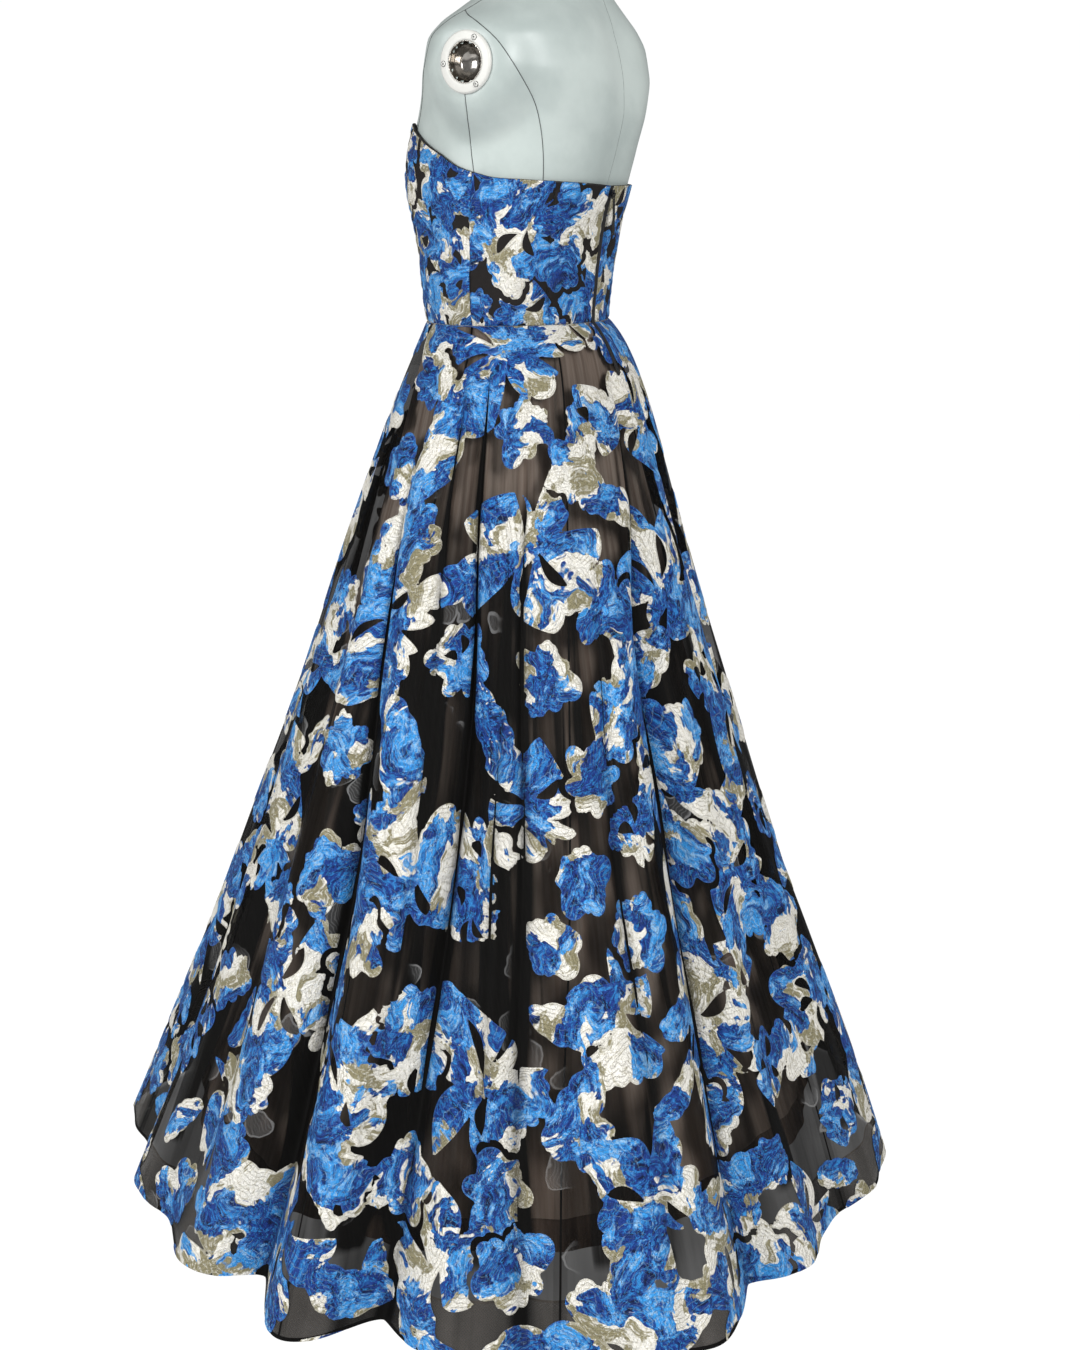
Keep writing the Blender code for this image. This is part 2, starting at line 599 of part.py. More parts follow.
def pull_place(x, y, z):
    centre = slider_origin + face * BAR_OUT
    return centre + np.array([x, y, z])


slider_x = [-0.0036, -0.0011, 0.0011, 0.0036]
slider_y = [0.0, 0.0016, 0.0024, 0.0042, 0.0050]
slider_z = [-0.0050, -0.0028, -0.0009, 0.0009, 0.0028, 0.0050]
slider_cells = set()
for i in range(3):
    for k in range(5):
        slider_cells.add((i, 0, k))
for j in (1, 2, 3):
    for k in (1, 2, 3):
        slider_cells.add((1, j, k))
slider_cells.discard((1, 2, 2))
add_cells("zip_slider", (slider_x, slider_y, slider_z), slider_cells, slider_place, BLACK, 0.35)

pull_x = [-0.0025, -0.0013, 0.0013, 0.0025]
pull_y = [-0.00045, 0.00045]
pull_z = [-0.0440, -0.0042, -0.00045, 0.00045]
pull_cells = {(0, 0, 0), (1, 0, 0), (2, 0, 0), (0, 0, 1), (2, 0, 1), (0, 0, 2), (1, 0, 2), (2, 0, 2)}
add_cells("zip_pull", (pull_x, pull_y, pull_z), pull_cells, pull_place, BLACK, 0.35)
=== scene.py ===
import bpy
import numpy as np
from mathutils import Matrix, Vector


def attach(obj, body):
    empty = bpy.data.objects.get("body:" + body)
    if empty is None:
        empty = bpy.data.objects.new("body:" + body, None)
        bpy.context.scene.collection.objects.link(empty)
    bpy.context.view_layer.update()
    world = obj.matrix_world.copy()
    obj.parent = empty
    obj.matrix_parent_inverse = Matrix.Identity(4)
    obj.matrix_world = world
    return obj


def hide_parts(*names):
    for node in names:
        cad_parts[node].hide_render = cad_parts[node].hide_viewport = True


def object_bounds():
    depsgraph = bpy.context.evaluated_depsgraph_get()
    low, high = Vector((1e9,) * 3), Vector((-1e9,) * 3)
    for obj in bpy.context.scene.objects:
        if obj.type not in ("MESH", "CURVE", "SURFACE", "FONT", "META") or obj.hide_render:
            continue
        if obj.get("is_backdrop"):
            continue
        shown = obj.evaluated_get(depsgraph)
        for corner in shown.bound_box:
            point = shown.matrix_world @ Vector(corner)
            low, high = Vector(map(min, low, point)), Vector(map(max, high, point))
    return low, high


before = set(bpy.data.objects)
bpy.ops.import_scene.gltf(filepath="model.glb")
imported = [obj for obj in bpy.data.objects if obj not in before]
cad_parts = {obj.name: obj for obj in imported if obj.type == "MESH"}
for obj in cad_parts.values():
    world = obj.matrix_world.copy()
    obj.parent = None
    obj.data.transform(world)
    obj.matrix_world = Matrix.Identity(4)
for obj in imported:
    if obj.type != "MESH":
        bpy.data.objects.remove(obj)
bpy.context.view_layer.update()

# Named sizes in metres, as in the part's source: the wearer faces -Y and the wearer's left is +X
WAIST_HEIGHT = 1.060
HEM_HEIGHT = 0.005
WAIST_HALF_WIDTH = 0.1280
WAIST_HALF_DEPTH = 0.1005
SKIRT_WALL = 0.0010
BODICE_WALL = 0.0024
GAP = 0.0003
BAND_TOP = 0.060
LINING_HEM = 0.105
UNDER_HEM = 0.070
# Widths of the painted shade strips at the foot of the creases
SHADE_STRIP_SHARE = 0.50
SHADE_STRIP_START = 0.0030
CREASE_WANDER = 0.010
THREAD_PITCH = 3600.0
BRAID_PITCH = 900.0
ZIP_TOP = 1.2107
ZIP_END = 1.000
ZIP_HALF = 0.0036
BUST_RISE = 0.014
BUST_HEIGHT = 1.225
BUST_SPAN = 0.075
SPINE_HOLLOW = 0.009
ARM_FLAT = 0.1600
ARM_HEIGHT = 1.333
ARM_MIDDLE = 0.033
BOSS_INNER = 0.033
BOSS_OUTER = 0.085
BOSS_SQUEEZE_UP = 1.6
BOSS_SQUEEZE_BACK = 1.25
BODICE_LOW = 1.0603
AMBIENT = 0.27
SEEN_GROUND = 1.02
FLOOR_GLOW = 1.12
GLOW_SHARE = 0.90
GLOW_THROUGH_CLOTH = 0.16

# Rings of the form, hip to neck: height, half width, centre, front, back
FORM_RINGS = [
    (0.780, 0.1480, 0.0050, 0.0950, 0.1080),
    (0.815, 0.1590, 0.0050, 0.1030, 0.1160),
    (0.860, 0.1640, 0.0050, 0.1070, 0.1190),
    (0.910, 0.1580, 0.0040, 0.1060, 0.1150),
    (0.960, 0.1450, 0.0030, 0.1030, 0.1070),
    (1.010, 0.1320, 0.0010, 0.0990, 0.1000),
    (1.060, 0.1251, 0.0000, 0.0976, 0.0976),
    (1.083, 0.1262, -0.0010, 0.0995, 0.0985),
    (1.111, 0.1275, -0.0010, 0.1010, 0.1015),
    (1.140, 0.1285, 0.0000, 0.1040, 0.1060),
    (1.168, 0.1300, 0.0000, 0.1060, 0.1120),
    (1.197, 0.1315, 0.0020, 0.1100, 0.1190),
    (1.225, 0.1325, 0.0040, 0.1120, 0.1260),
    (1.252, 0.1340, 0.0070, 0.1140, 0.1310),
    (1.280, 0.1400, 0.0120, 0.1130, 0.1330),
    (1.307, 0.1530, 0.0190, 0.1110, 0.1270),
    (1.333, 0.1640, 0.0240, 0.1080, 0.1190),
    (1.360, 0.1640, 0.0260, 0.1020, 0.1100),
    (1.378, 0.1480, 0.0280, 0.0930, 0.1010),
    (1.396, 0.1180, 0.0320, 0.0800, 0.0870),
    (1.413, 0.0900, 0.0350, 0.0680, 0.0740),
    (1.438, 0.0650, 0.0330, 0.0590, 0.0620),
    (1.470, 0.0560, 0.0300, 0.0550, 0.0560),
    (1.500, 0.0540, 0.0290, 0.0540, 0.0540),
]

# Top edge of the bodice: angle from +X towards +Y, height
TOP_EDGE = [
    (-90.0, 1.262),
    (-75.0, 1.270),
    (-60.0, 1.279),
    (-50.0, 1.279),
    (-40.0, 1.270),
    (-25.0, 1.255),
    (-12.0, 1.243),
    (0.0, 1.230),
    (10.0, 1.223),
    (20.0, 1.218),
    (35.0, 1.216),
    (55.0, 1.214),
    (90.0, 1.211),
]

# Heights at which the lines of the skirt are tabulated
LINE_HEIGHTS = [1.060, 0.900, 0.700, 0.450, 0.200, 0.005]

# How far the lining hangs inside the outer skirt, at the same heights from the hem up
LINING_INWARD = [0.052, 0.046, 0.036, 0.026, 0.014, 0.0]

# A line without depth
FLAT = (0, 0, 0, 0, 0, 0)

# Lines down the skirt: name, kind, six angles, six depths, width in degrees, columns to the next line
SKIRT_LINES = [
    ("valley 14", "valley", (-26, -26, -25, -25, -24, -27), (0, 0.004, 0.010, 0.018, 0.026, 0.030), 7.0, 5),
    ("valley 0", "valley", (-12, -11, -7, -3.5, -4, -6), (0, 0.004, 0.014, 0.028, 0.042, 0.050), 6.0, 3),
    ("left side", "seam", (8, 3.5, 3, 3, 3, 3.5), FLAT, 6.0, 2),
    ("valley 1", "valley", (10, 7, 17.5, 17.6, 14, 11.5), (0, 0.009, 0.006, 0, 0, 0), 5.0, 2),
    ("valley 2", "valley", (19.5, 20, 21.5, 20.5, 16.5, 14), (0, 0.012, 0.022, 0.034, 0.044, 0.048), 6.0, 6),
    ("valley 3", "valley", (40, 38, 36, 35, 34, 33), (0, 0.001, 0.004, 0.009, 0.013, 0.016), 8.0, 2),
    ("left back princess", "seam", (56, 52, 48, 44, 40, 38), FLAT, 6.0, 7),
    ("valley 4", "valley", (85, 83.5, 74, 71, 68.5, 67), (0, 0.010, 0.022, 0.030, 0.035, 0.036), 5.2, 6),
    ("valley 5", "valley", (87.6, 87.6, 87.6, 87.2, 83, 85.5), (0, 0, 0, 0.007, 0.019, 0.030), 8.0, 2),
    ("centre back", "seam", (90, 90, 90, 90, 90, 90), FLAT, 6.0, 5),
    ("valley 6", "valley", (106, 108, 112, 115, 118, 118), (0, 0.004, 0.014, 0.024, 0.032, 0.036), 6.5, 3),
    ("right back princess", "seam", (124, 124, 125, 126, 127, 127), FLAT, 6.0, 4),
    ("valley 7", "valley", (136, 136, 137, 138, 138, 138), (0, 0.005, 0.012, 0.020, 0.028, 0.033), 6.5, 6),
    ("valley 8", "valley", (152, 153, 154, 154, 155, 155), (0, 0.006, 0.016, 0.028, 0.040, 0.044), 6.5, 5),
    ("right side", "seam", (172, 172, 173, 173, 173, 173), FLAT, 6.0, 2),
    ("valley 9", "valley", (179, 179, 179, 180, 180, 180), (0, 0.004, 0.012, 0.022, 0.030, 0.034), 6.5, 7),
    ("valley 10", "valley", (201, 201, 202, 203, 203, 203), (0, 0.006, 0.016, 0.028, 0.038, 0.044), 6.5, 7),
    ("valley 11", "valley", (224, 224, 224, 225, 225, 225), (0, 0.004, 0.012, 0.020, 0.030, 0.036), 6.5, 3),
    ("right front princess", "seam", (232, 232, 232, 233, 234, 234), FLAT, 6.0, 4),
    ("valley 12", "valley", (246, 246, 247, 248, 248, 248), (0, 0.006, 0.016, 0.028, 0.040, 0.046), 6.5, 7),
    ("valley 13", "valley", (270, 270, 270, 269, 269, 269), (0, 0.003, 0.010, 0.018, 0.026, 0.032), 6.5, 7),
    ("valley 15", "valley", (292, 292, 292, 291, 291, 291), (0, 0.006, 0.016, 0.028, 0.038, 0.044), 6.5, 6),
    ("left front princess", "seam", (308, 308, 309, 310, 310, 310), FLAT, 6.0, 2),
    ("valley 16", "valley", (314, 314, 314, 315, 315, 315), (0, 0.004, 0.012, 0.020, 0.030, 0.034), 6.5, 6),
]
# Lobes that stand out further than the envelope: name, six angles, six heights out, width in degrees
SKIRT_LOBES = [
    ("lobe 1", (0, -1, 5, 6, 4, 4), (0, 0, 0.001, 0.006, 0.013, 0.020), 7.0),
    ("lobe 2", (52, 52, 52, 52, 53.5, 56), (0, 0, 0, 0.004, 0.014, 0.027), 9.0),
    ("lobe 3", (104, 104, 104, 104, 105, 107), (0, 0, 0, 0.008, 0.013, 0.003), 8.0),
]


def curve(levels, values, at):
    """A smooth line through a table, which stays between neighbouring values."""
    levels = np.asarray(levels, float)
    values = np.asarray(values, float)
    if levels[0] > levels[-1]:
        levels = levels[::-1]
        values = values[::-1]
    step = np.diff(levels)
    slope = np.diff(values) / step
    same = slope[:-1] * slope[1:] > 0.0
    inner = np.where(same, 2.0 * slope[:-1] * slope[1:] / np.where(same, slope[:-1] + slope[1:], 1.0), 0.0)
    tangent = np.concatenate([slope[:1], inner, slope[-1:]])
    at = np.clip(at, levels[0], levels[-1])
    low = np.clip(np.searchsorted(levels, at, side="right") - 1, 0, len(step) - 1)
    s = (at - levels[low]) / step[low]
    start = (1.0 + 2.0 * s) * (1.0 - s) ** 2 * values[low] + s * (1.0 - s) ** 2 * step[low] * tangent[low]
    end = s ** 2 * (3.0 - 2.0 * s) * values[low + 1] + s ** 2 * (s - 1.0) * step[low] * tangent[low + 1]
    return start + end


def unit(vectors):
    return vectors / np.linalg.norm(vectors, axis=-1, keepdims=True)


def pairs(first, second):
    """Two grids or lists of numbers as one list of pairs."""
    return np.stack(np.broadcast_arrays(first, second), axis=-1).reshape(-1, 2)


def line_length(points):
    return float(np.linalg.norm(np.diff(points, axis=0), axis=-1).sum())


def run_along(points):
    """Length from the start of a line to each of its points."""
    steps = np.linalg.norm(np.diff(points, axis=0), axis=-1)
    return np.concatenate([[0.0], np.cumsum(steps)])


def smooth(share):
    return share * share * (3.0 - 2.0 * share)


def spread_out(angle, height):
    return np.broadcast_arrays(np.asarray(angle, float), np.asarray(height, float))


# Shape of the form and of the bodice
RINGS = np.array(FORM_RINGS)


def bust_rise(x, z, covered):
    tall = np.exp(-((z - BUST_HEIGHT) / 0.060) ** 2)
    if covered:
        side = np.maximum(np.abs(x) - BUST_SPAN, 0.0) / 0.040
        return BUST_RISE * tall * np.exp(-side ** 2)
    pair = np.exp(-((x - BUST_SPAN) / 0.040) ** 2) + np.exp(-((x + BUST_SPAN) / 0.040) ** 2)
    return BUST_RISE * tall * pair


def spine_hollow(x, z, covered):
    rise = np.clip((z - 1.10) / 0.10, 0.0, 1.0) * np.clip((1.43 - z) / 0.06, 0.0, 1.0)
    depth = SPINE_HOLLOW * (0.7 if covered else 1.0)
    return depth * rise * np.exp(-(x / 0.040) ** 2)


def form_point(angle, height, covered=False):
    angle, height = spread_out(angle, height)
    half, centre, front, back = [curve(RINGS[:, 0], RINGS[:, k], height) for k in (1, 2, 3, 4)]
    sine = np.sin(angle)
    x = np.clip(half * np.cos(angle), -ARM_FLAT, ARM_FLAT)
    y = centre + np.where(sine > 0.0, back * sine, front * sine)
    y = y - bust_rise(x, height, covered) * np.clip(-sine * 1.6, 0.0, 1.0)
    y = y - spine_hollow(x, height, covered) * np.clip(sine * 1.6, 0.0, 1.0)
    rise = (height - ARM_HEIGHT) * np.where(height > ARM_HEIGHT, BOSS_SQUEEZE_UP, 1.0)
    away = (np.hypot((y - ARM_MIDDLE) * BOSS_SQUEEZE_BACK, rise) - BOSS_INNER) / (BOSS_OUTER - BOSS_INNER)
    boss = np.where(np.abs(x) > 0.5 * ARM_FLAT, 1.0 - smooth(np.clip(away, 0.0, 1.0)), 0.0)
    x = x + (np.sign(x) * ARM_FLAT - x) * boss
    return np.stack([x, y, height], axis=-1)


def bodice_point(angle, height, out=0.0):
    angle, height = spread_out(angle, height)
    step = 0.002
    middle = form_point(angle, height, True)
    along = form_point(angle + step, height, True) - form_point(angle - step, height, True)
    normal = unit(np.stack([along[..., 1], -along[..., 0]], axis=-1))
    ease = 0.0005 + 0.0016 * np.clip((height - BODICE_LOW) / 0.030, 0.0, 1.0)
    reach = ease + BODICE_WALL + out
    plan = middle[..., :2] + normal * np.asarray(reach)[..., None]
    return np.concatenate([plan, height[..., None]], axis=-1)


def top_height(angle):
    degrees = np.degrees(np.asarray(angle, float))
    degrees = (degrees + 270.0) % 360.0 - 270.0
    degrees = np.where(degrees < -90.0, -180.0 - degrees, degrees)
    degrees = np.where(degrees > 90.0, 180.0 - degrees, degrees)
    table = np.array(TOP_EDGE)
    return curve(table[:, 0], table[:, 1], degrees)


# Shape of the skirt: its flare below the waist, and how far its middle moves towards the hem
WAIST_SPRING = 0.0166
FLARE = (0.3302, -0.0094, 0.0393)
HEM_OVAL = 0.0356
HEM_SHIFT = (0.0298, -0.0096)
SEAT_RISE = 0.007


def envelope_point(height):
    drop = WAIST_HEIGHT - height
    share = drop / (WAIST_HEIGHT - HEM_HEIGHT)
    flare = WAIST_SPRING * (1.0 - np.exp(-drop / 0.05))
    flare = flare + FLARE[0] * drop + FLARE[1] * drop ** 2 + FLARE[2] * drop ** 3
    half_width = WAIST_HALF_WIDTH + flare * (1.0 - HEM_OVAL * share)
    half_depth = WAIST_HALF_DEPTH + flare * (1.0 + HEM_OVAL * share)
    back = SEAT_RISE * (1.0 - np.exp(-drop / 0.02)) * np.exp(-(drop / 0.25) ** 2)
    return half_width, half_depth, HEM_SHIFT[0] * share, back + HEM_SHIFT[1] * share


def wrap(turn):
    """A turn brought to within half a round either way."""
    return (turn + np.pi) % (2.0 * np.pi) - np.pi


def swell(angle, height, angles, depths, width):
    """Depth of one line of the skirt, rounded on both sides."""
    away = wrap(angle - np.radians(curve(LINE_HEIGHTS, angles, height)))
    return curve(LINE_HEIGHTS, depths, height) * np.exp(-(away / np.radians(width)) ** 2)


def fold_depth(angle, height):
    total = np.zeros(np.broadcast(angle, height).shape)
    for name, kind, angles, depths, width, columns in SKIRT_LINES:
        if kind == "valley":
            total = total + swell(angle, height, angles, depths, width)
    for name, angles, rises, width in SKIRT_LOBES:
        total = total - swell(angle, height, angles, rises, width)
    return total


# Small ripples of the cloth: waves round, turn with height, start, height out
RIPPLES = [
    (23, 2.1, 0.4, 0.0013),
    (37, -3.0, 2.2, 0.0011),
    (53, 1.7, 5.1, 0.0008),
    (9, 11.0, 1.3, 0.0012),
    (5, 19.0, 3.9, 0.0010),
]


def ripple(angle, height):
    share = np.clip((WAIST_HEIGHT - height) / 0.60, 0.0, 1.0)
    total = 0.0
    for waves, turn, start, rise in RIPPLES:
        total = total + rise * np.sin(waves * angle + turn * height + start)
    return total * (0.10 + 0.90 * share)


# Sharp creases in the cloth: six angles, six depths, width in degrees
CREASES = [
    ((8.5, 8, 12, 12, 10, 9), (0, 0.006, 0.007, 0.005, 0.004, 0.003), 1.5),
    ((19.5, 20, 21.5, 20.5, 16.5, 14), (0, 0.008, 0.011, 0.010, 0.008, 0.006), 1.3),
    ((30, 31, 31, 29, 27, 26), (0, 0.002, 0.005, 0.006, 0.004, 0.002), 1.8),
    ((40, 38, 36, 35, 34, 33), (0, 0.003, 0.008, 0.009, 0.007, 0.005), 1.6),
    ((62, 60, 57, 55, 54, 53), (0, 0.001, 0.004, 0.006, 0.005, 0.003), 2.0),
    ((85, 83.5, 74, 71, 68.5, 67), (0, 0.006, 0.010, 0.010, 0.008, 0.006), 1.3),
    ((106, 108, 112, 115, 118, 118), (0, 0.005, 0.009, 0.009, 0.007, 0.005), 1.5),
    ((136, 136, 137, 138, 138, 138), (0, 0.004, 0.008, 0.009, 0.007, 0.006), 1.5),
    ((152, 153, 154, 154, 155, 155), (0, 0.004, 0.009, 0.010, 0.008, 0.006), 1.4),
    ((201, 201, 202, 203, 203, 203), (0, 0.005, 0.009, 0.010, 0.008, 0.006), 1.4),
    ((246, 246, 247, 248, 248, 248), (0, 0.004, 0.009, 0.010, 0.007, 0.005), 1.5),
    ((292, 292, 292, 291, 291, 291), (0, 0.005, 0.008, 0.010, 0.008, 0.006), 1.4),
    ((348, 349, 353, 356, 356, 354), (0, 0.003, 0.009, 0.010, 0.008, 0.006), 1.4),
]


def crease_turn(angles, angle, height):
    """Turn from a crease, which wanders a little on its way down."""
    wander = CREASE_WANDER * np.sin(11.0 * height + angles[0]) * np.clip((0.98 - height) / 0.15, 0.0, 1.0)
    return wrap(angle - (np.radians(curve(LINE_HEIGHTS, angles, height)) + wander))


def crease_depth(angle, height):
    total = 0.0
    for angles, depths, width in CREASES:
        away = crease_turn(angles, angle, height) / np.radians(width)
        total = total + curve(LINE_HEIGHTS, depths, height) * np.exp(-np.sqrt(away ** 2 + 0.05) + 0.22)
    return total


def crease_shade_strip(angle, height, radius):
    """Distance outside the narrow strip at the foot of each crease where the flower cloth is left out, so
    that the nearly opaque black sheer shows there as painted shade.
    """
    clear = np.full(angle.shape, 1.0)
    for angles, depths, width in CREASES:
        away = np.abs(crease_turn(angles, angle, height)) * radius
        start = SHADE_STRIP_START + 0.0035 * np.clip((0.30 - height) / 0.25, 0.0, 1.0)
        half = SHADE_STRIP_SHARE * (curve(LINE_HEIGHTS, depths, height) - start)
        half = half * (0.80 + 0.45 * np.sin(19.0 * height + 2.0 * angles[1]))
        clear = np.minimum(clear, np.where(half > 0.0002, away - half, 1.0))
    return clear


def skirt_surface(angle, height):
    angle, height = spread_out(angle, height)
    half_width, half_depth, x0, y0 = envelope_point(height)
    depth = fold_depth(angle, height) - ripple(angle, height) + crease_depth(angle, height)
    x = x0 + (half_width - depth) * np.cos(angle)
    y = y0 + (half_depth - depth) * np.sin(angle)
    return np.stack([x, y, height], axis=-1)


def skirt_normal(angle, height):
    step = 0.002
    drop = 0.002
    along = skirt_surface(angle + step, height) - skirt_surface(angle - step, height)
    down = skirt_surface(angle, height - drop) - skirt_surface(angle, np.minimum(height + drop, WAIST_HEIGHT))
    normal = unit(np.cross(down, along))
    level = np.clip((WAIST_HEIGHT - height) / 0.030, 0.0, 1.0)
    normal[..., 2] = normal[..., 2] * level
    return unit(normal)


def lining_point(angle, height, out=0.0):
    angle, height = spread_out(angle, height)
    half_width, half_depth, x0, y0 = envelope_point(height)
    drop = WAIST_HEIGHT - height
    inward = SKIRT_WALL + GAP + 0.0120 * (1.0 - np.exp(-drop / 0.050))
    inward = inward + np.interp(height, LINE_HEIGHTS[::-1], LINING_INWARD)
    waves = 0.005 * np.clip((0.98 - height) / 0.5, 0.0, 1.0)
    inward = inward + waves * (1.0 + np.sin(14.0 * angle + 0.6))
    pleats = 0.0012 * np.clip((1.00 - height) / 0.3, 0.0, 1.0)
    inward = inward + pleats * (1.0 + np.sin(61.0 * angle + 2.0 * np.sin(5.0 * angle) + 1.5 * height))
    x = x0 + (half_width - inward + out) * np.cos(angle)
    y = y0 + (half_depth - inward + out) * np.sin(angle)
    return np.stack([x, y, height], axis=-1)


# Meshes from grids and from triangles
def add_mesh(name, points, faces, material, node=None, body="gown_and_form"):
    """A piece from points and equal-sided faces, given as arrays. node is the CAD piece that it replaces."""
    points = np.asarray(points, float).reshape(-1, 3)
    faces = np.asarray(faces, int)
    size = faces.shape[1]
    mesh = bpy.data.meshes.new(name)
    mesh.vertices.add(len(points))
    mesh.vertices.foreach_set("co", points.astype(np.float32).ravel())
    mesh.loops.add(faces.size)
    mesh.loops.foreach_set("vertex_index", faces.astype(np.int32).ravel())
    mesh.polygons.add(len(faces))
    mesh.polygons.foreach_set("loop_start", (np.arange(len(faces)) * size).astype(np.int32))
    mesh.update(calc_edges=True)
    mesh.polygons.foreach_set("use_smooth", np.full(len(faces), True))
    mesh.materials.append(material)
    piece = bpy.data.objects.new(name, mesh)
    bpy.context.scene.collection.objects.link(piece)
    if body:
        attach(piece, body)
    if node:
        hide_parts(node)
    return piece


def add_map(piece, name, pairs):
    """A UV map from one pair of numbers a vertex."""
    mesh = piece.data
    corners = np.empty(len(mesh.loops), dtype=np.int32)
    mesh.loops.foreach_get("vertex_index", corners)
    layer = mesh.uv_layers.new(name=name)
    layer.uv.foreach_set("vector", np.asarray(pairs, np.float32)[corners].ravel())


def corner_faces(index):
    """Four-sided faces between the rows and columns of a grid of point numbers."""
    corners = [index[:-1, :-1], index[1:, :-1], index[1:, 1:], index[:-1, 1:]]
    return np.stack(corners, axis=-1).reshape(-1, 4)


def grid_faces(rows, columns, closed=False):
    index = np.arange(rows * columns).reshape(rows, columns)
    if closed:
        index = np.concatenate([index, index[:, :1]], axis=1)
    return corner_faces(index)


def halves(faces):
    return np.concatenate([faces[:, [0, 1, 2]], faces[:, [0, 2, 3]]])


def cut_faces(values, faces):
    """Triangles cut where values pass zero: faces and, for each new point, its two ends and the share."""
    inside = values > 0.0
    count = inside[faces].sum(axis=1)
    whole = faces[count == 3]
    starts = []
    ends = []
    parts = []
    for number in (1, 2):
        some = faces[count == number]
        odd = inside[some] if number == 1 else ~inside[some]
        first = odd.argmax(axis=1)
        row = np.arange(len(some))
        p = some[row, first]
        q = some[row, (first + 1) % 3]
        r = some[row, (first + 2) % 3]
        parts.append((p, q, r))
        starts.extend([p, p])
        ends.extend([q, r])
    starts = np.concatenate(starts)
    ends = np.concatenate(ends)
    low = np.minimum(starts, ends)
    high = np.maximum(starts, ends)
    keys, back = np.unique(low * len(values) + high, return_inverse=True)
    low = keys // len(values)
    high = keys % len(values)
    share = values[low] / (values[low] - values[high])
    fresh = len(values) + back
    one = len(parts[0][0])
    two = len(parts[1][0])
    pq, pr = fresh[:one], fresh[one:2 * one]
    made = [whole, np.stack([parts[0][0], pq, pr], axis=1)]
    pq, pr = fresh[2 * one:2 * one + two], fresh[2 * one + two:]
    q, r = parts[1][1], parts[1][2]
    made.append(np.stack([pq, q, r], axis=1))
    made.append(np.stack([pq, r, pr], axis=1))
    return np.concatenate(made), low, high, share


# Flowers: rounded petals round a middle, with almond slits between them, and leaves
def make_flower(random, x, y, size):
    count = int(random.integers(5, 8))
    start = random.uniform(0.0, 2.0 * np.pi)
    petals = []
    for k in range(count):
        middle = start + 2.0 * np.pi * (k + random.uniform(-0.12, 0.12)) / count
        reach = size * random.uniform(0.78, 1.18)
        width = 2.0 * np.pi / count * random.uniform(1.40, 1.90)
        scallops = int(random.integers(2, 5))
        petals.append((middle, reach, width, scallops))
    slits = []
    if size > 0.045:
        for k in random.permutation(count)[: int(random.integers(2, 4))]:
            turn = petals[k][0] + np.pi / count + random.uniform(-0.1, 0.1)
            middle = size * random.uniform(0.30, 0.42)
            half = size * random.uniform(0.20, 0.32)
            slits.append((turn, middle, half, random.uniform(0.0042, 0.0068)))
    return {"x": x, "y": y, "size": size, "petals": petals, "slits": slits, "channel": None}


def make_leaf(random, x, y, turn, length):
    wide = length * random.uniform(0.34, 0.50)
    return {"x": x, "y": y, "turn": turn, "length": length, "wide": wide, "bend": random.uniform(-1.6, 1.6)}


def find_near(shape, x, y, reach):
    return np.nonzero((np.abs(x - shape["x"]) < reach) & (np.abs(y - shape["y"]) < reach))[0]


def draw_flower(flower, x, y, field):
    near = find_near(flower, x, y, 1.25 * flower["size"])
    if not len(near):
        return
    right = x[near] - flower["x"]
    up = y[near] - flower["y"]
    radius = np.hypot(right, up)
    turn = np.arctan2(up, right)
    edge = np.full(len(near), 0.45 * flower["size"])
    across = np.zeros(len(near))
    along = radius / flower["size"]
    for middle, reach, width, scallops in flower["petals"]:
        share = wrap(turn - middle) / width
        lobe = np.sqrt(np.clip(np.cos(np.pi * np.clip(share, -0.5, 0.5)), 0.0, 1.0))
        ruffle = 0.86 + 0.14 * np.sqrt(np.abs(np.cos(np.pi * scallops * share)))
        rim = reach * lobe * ruffle
        better = rim > edge
        edge = np.where(better, rim, edge)
        across = np.where(better, share, across)
    value = edge - radius
    for middle, centre, half, wide in flower["slits"]:
        s = (radius * np.cos(turn - middle) - centre) / half
        t = radius * np.sin(turn - middle) - 0.006 * s ** 2
        hole = wide * (1.0 - s ** 2) * (1.0 + 0.5 * s) - np.abs(t)
        value = np.minimum(value, -hole)
    if flower["channel"] is not None:
        side = np.maximum(np.abs(wrap(turn - flower["channel"])) - 1.1, 0.0)
        carved = 0.0036 - np.abs(value + 0.0036) - 0.02 * side
        field["value"][near] = np.minimum(field["value"][near], -carved)
    keep_best(field, near, value, across, along)


def draw_leaf(leaf, x, y, field):
    near = find_near(leaf, x, y, leaf["length"])
    if not len(near):
        return
    right = x[near] - leaf["x"]
    up = y[near] - leaf["y"]
    s = (right * np.cos(leaf["turn"]) + up * np.sin(leaf["turn"])) / leaf["length"]
    t = up * np.cos(leaf["turn"]) - right * np.sin(leaf["turn"])
    t = t - leaf["bend"] * leaf["length"] * 0.2 * s ** 2
    wide = leaf["wide"] * np.sqrt(np.clip(1.0 - s ** 2, 0.0, 1.0)) * (0.86 + 0.14 * np.abs(np.cos(7.0 * s)))
    value = np.where(np.abs(s) < 1.0, wide - np.abs(t), -0.01)
    keep_best(field, near, value, t / leaf["wide"] * 0.5, np.abs(s))


def keep_best(field, near, value, across, along):
    better = value > field["value"][near]
    spots = near[better]
    field["value"][spots] = value[better]
    field["across"][spots] = across[better]
    field["along"][spots] = along[better]


def empty_field(count):
    return {"value": np.full(count, -0.02), "across": np.zeros(count), "along": np.zeros(count)}


def scatter(random, inside, box, spacing, tries):
    """Spots no closer than spacing, thrown into a box where inside allows."""
    spots = []
    for _ in range(tries):
        x = random.uniform(box[0], box[1])
        y = random.uniform(box[2], box[3])
        if not inside(x, y):
            continue
        if all((x - p) ** 2 + (y - q) ** 2 > spacing ** 2 for p, q in spots):
            spots.append((x, y))
    return spots


